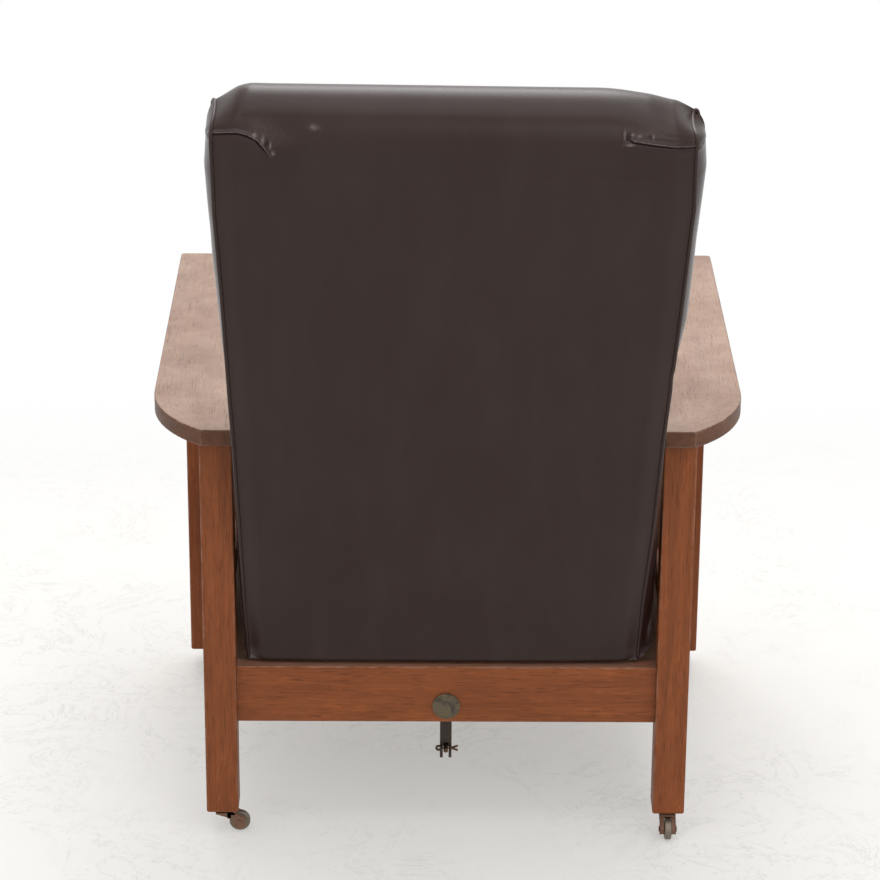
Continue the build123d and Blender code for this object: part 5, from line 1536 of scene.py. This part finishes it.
class CHAIR_OT_stage(Operator):
    """Sets the floor, the lights and the camera"""

    bl_idname = "chair.stage"
    bl_label = "Floor, light and camera"

    def execute(self, context):
        stage = context.scene.chair_stage
        self.lay_floor(stage)
        self.hang_lights(context, stage)
        self.set_camera(context, stage)
        context.scene.view_settings.view_transform = "Standard"
        return {"FINISHED"}

    def lay_floor(self, stage):
        """Lays a pale marbled floor that fades to white far off and behind the chair's front."""
        reach = 14.0
        material, t, shader = new_material("Pale floor")
        place = t.object_place()
        cloud = t.noise(place, 2.6, 6, 0.6)
        veins = t.noise(place, 9, 8, 0.7, 1.4)
        cracks = t.ramp(t.sum("ABSOLUTE", t.sum("SUBTRACT", veins, 0.5)), 0.0, 0.012, 1, 0)
        specks = t.ramp(t.noise(place, 120, 3, 0.6), 0.62, 0.72)
        tone = t.mix(t.ramp(cloud, 0.35, 0.65, 0.0, 0.12), stage.floor, stage.floor_cloud)
        marks = t.sum("MAXIMUM", t.sum("MULTIPLY", cracks, 0.55), t.sum("MULTIPLY", specks, 0.40))
        tone = t.mix(t.sum("MULTIPLY", marks, t.ramp(cloud, 0.40, 0.60)), tone, stage.floor_vein)
        t.feed(shader.inputs["Base Color"], tone)
        shader.inputs["Roughness"].default_value = 0.85
        shader.inputs["Specular IOR Level"].default_value = 0.2
        split = t.node("ShaderNodeSeparateXYZ", inputs={"Vector": place}).outputs
        distance = t.node("ShaderNodeVectorMath", operation="LENGTH")
        t.feed(distance.inputs[0], place)
        away = t.ramp(distance.outputs["Value"], 1.3, 2.6)
        beyond = t.ramp(split["Y"], -0.3, -1.4)
        far = t.sum("MAXIMUM", away, beyond)
        haze = t.mix(far, t.mix(0.6, stage.floor_glow, tone), (1, 1, 1))
        glow = t.node("ShaderNodeEmission", inputs={"Color": haze, "Strength": 1.0}).outputs[0]
        share = t.sum("MULTIPLY", t.ramp(far, 0.0, 1.0, 0.42, 1.0), t.seen_rays())
        t.blend_to("Material Output", share, shader.outputs[0], glow)
        corners = [(-reach, -reach, 0), (reach, -reach, 0), (reach, reach, 0), (-reach, reach, 0)]
        new_piece("floor", corners, [(0, 1, 2, 3)], material)

    def hang_lights(self, context, stage):
        """Sets an even white surround and three wide lamps."""
        world = bpy.data.worlds.new("Even light")
        context.scene.world = world
        world.use_nodes = True
        t = Tree(world.node_tree)
        even = world.node_tree.nodes["Background"]
        even.inputs["Color"].default_value = (1, 1, 1, 1)
        even.inputs["Strength"].default_value = stage.sky
        white = t.node("ShaderNodeBackground", inputs={"Color": (1, 1, 1), "Strength": 1.0}).outputs[0]
        t.blend_to("World Output", t.seen_rays(), even.outputs[0], white)
        # Name, power, width, place and aim of each lamp
        lamps = (
            ("overhead", stage.overhead, 3.0, (0.0, 0.2, 3.4), (0.0, 0.0, 0.4)),
            ("ahead", stage.ahead, 1.9, (0.0, -1.9, 3.0), (0.0, 0.3, 1.0)),
            ("behind", stage.behind, 2.2, (-1.4, 3.6, 2.6), (0.0, 0.1, 0.6)),
        )
        for name, power, size, place, target in lamps:
            lamp = bpy.data.lights.new(name, "AREA")
            lamp.energy = power
            lamp.size = size
            holder = bpy.data.objects.new(name, lamp)
            holder.location = place
            holder.rotation_euler = (Vector(target) - Vector(place)).to_track_quat("-Z", "Y").to_euler()
            context.scene.collection.objects.link(holder)

    def set_camera(self, context, stage):
        """Places the camera behind and above the chair, at the photograph's angle."""
        lens = bpy.data.cameras.new("camera")
        lens.sensor_width = 36
        lens.lens = stage.focal_length
        lens.clip_end = 60
        camera = bpy.data.objects.new("camera", lens)
        pitch, turn, roll = stage.camera_pitch, stage.camera_turn, stage.camera_roll
        ahead = Vector((-math.sin(turn) * math.cos(pitch), -math.cos(turn) * math.cos(pitch),
                        -math.sin(pitch)))
        level = Vector((-math.cos(turn), math.sin(turn), 0))
        upright = level.cross(ahead)
        right = level * math.cos(roll) + upright * math.sin(roll)
        up = upright * math.cos(roll) - level * math.sin(roll)
        axes = camera.matrix_world.to_3x3()
        for row in range(3):
            axes[row] = (right[row], up[row], -ahead[row])
        camera.rotation_euler = axes.to_euler()
        camera.location = (stage.camera_side, rear_leg_top.y + stage.camera_distance, stage.camera_height)
        context.scene.collection.objects.link(camera)
        context.scene.camera = camera


class CHAIR_PT_build(Panel):
    """Lists the chair's pieces and their settings"""

    bl_label = "Mission reclining armchair"
    bl_space_type = "VIEW_3D"
    bl_region_type = "UI"
    bl_category = "Chair"

    def draw(self, context):
        for operator in operators:
            self.layout.operator(operator.bl_idname)
        for name in settings_groups:
            box = self.layout.box()
            group = getattr(context.scene, name)
            for prop in group.__annotations__:
                box.prop(group, prop)


settings_groups = {
    "chair_oak": ChairOakSettings,
    "chair_leather": ChairLeatherSettings,
    "chair_metal": ChairMetalSettings,
    "chair_stage": ChairStageSettings,
}
operators = (CHAIR_OT_stage, CHAIR_OT_oak, CHAIR_OT_metal, CHAIR_OT_back, CHAIR_OT_webbing,
             CHAIR_OT_seat, CHAIR_OT_border, CHAIR_OT_springs, CHAIR_OT_casters)


def register():
    for group in settings_groups.values():
        bpy.utils.register_class(group)
    for operator in operators:
        bpy.utils.register_class(operator)
    bpy.utils.register_class(CHAIR_PT_build)
    for name, group in settings_groups.items():
        setattr(bpy.types.Scene, name, PointerProperty(type=group))


def unregister():
    for name in settings_groups:
        delattr(bpy.types.Scene, name)
    bpy.utils.unregister_class(CHAIR_PT_build)
    for operator in reversed(operators):
        bpy.utils.unregister_class(operator)
    for group in reversed(list(settings_groups.values())):
        bpy.utils.unregister_class(group)


def main():
    kept = set(frame["nodes"].values()) | set(frame["bodies"].values())
    for leftover in [thing for thing in bpy.data.objects if thing not in kept]:
        bpy.data.objects.remove(leftover)
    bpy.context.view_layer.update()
    register()
    bpy.ops.chair.stage()
    bpy.ops.chair.oak()
    bpy.ops.chair.metal()
    bpy.ops.chair.back()
    bpy.ops.chair.webbing()
    bpy.ops.chair.seat()
    bpy.ops.chair.border()
    bpy.ops.chair.springs()
    bpy.ops.chair.casters()


if __name__ == "__main__":
    main()
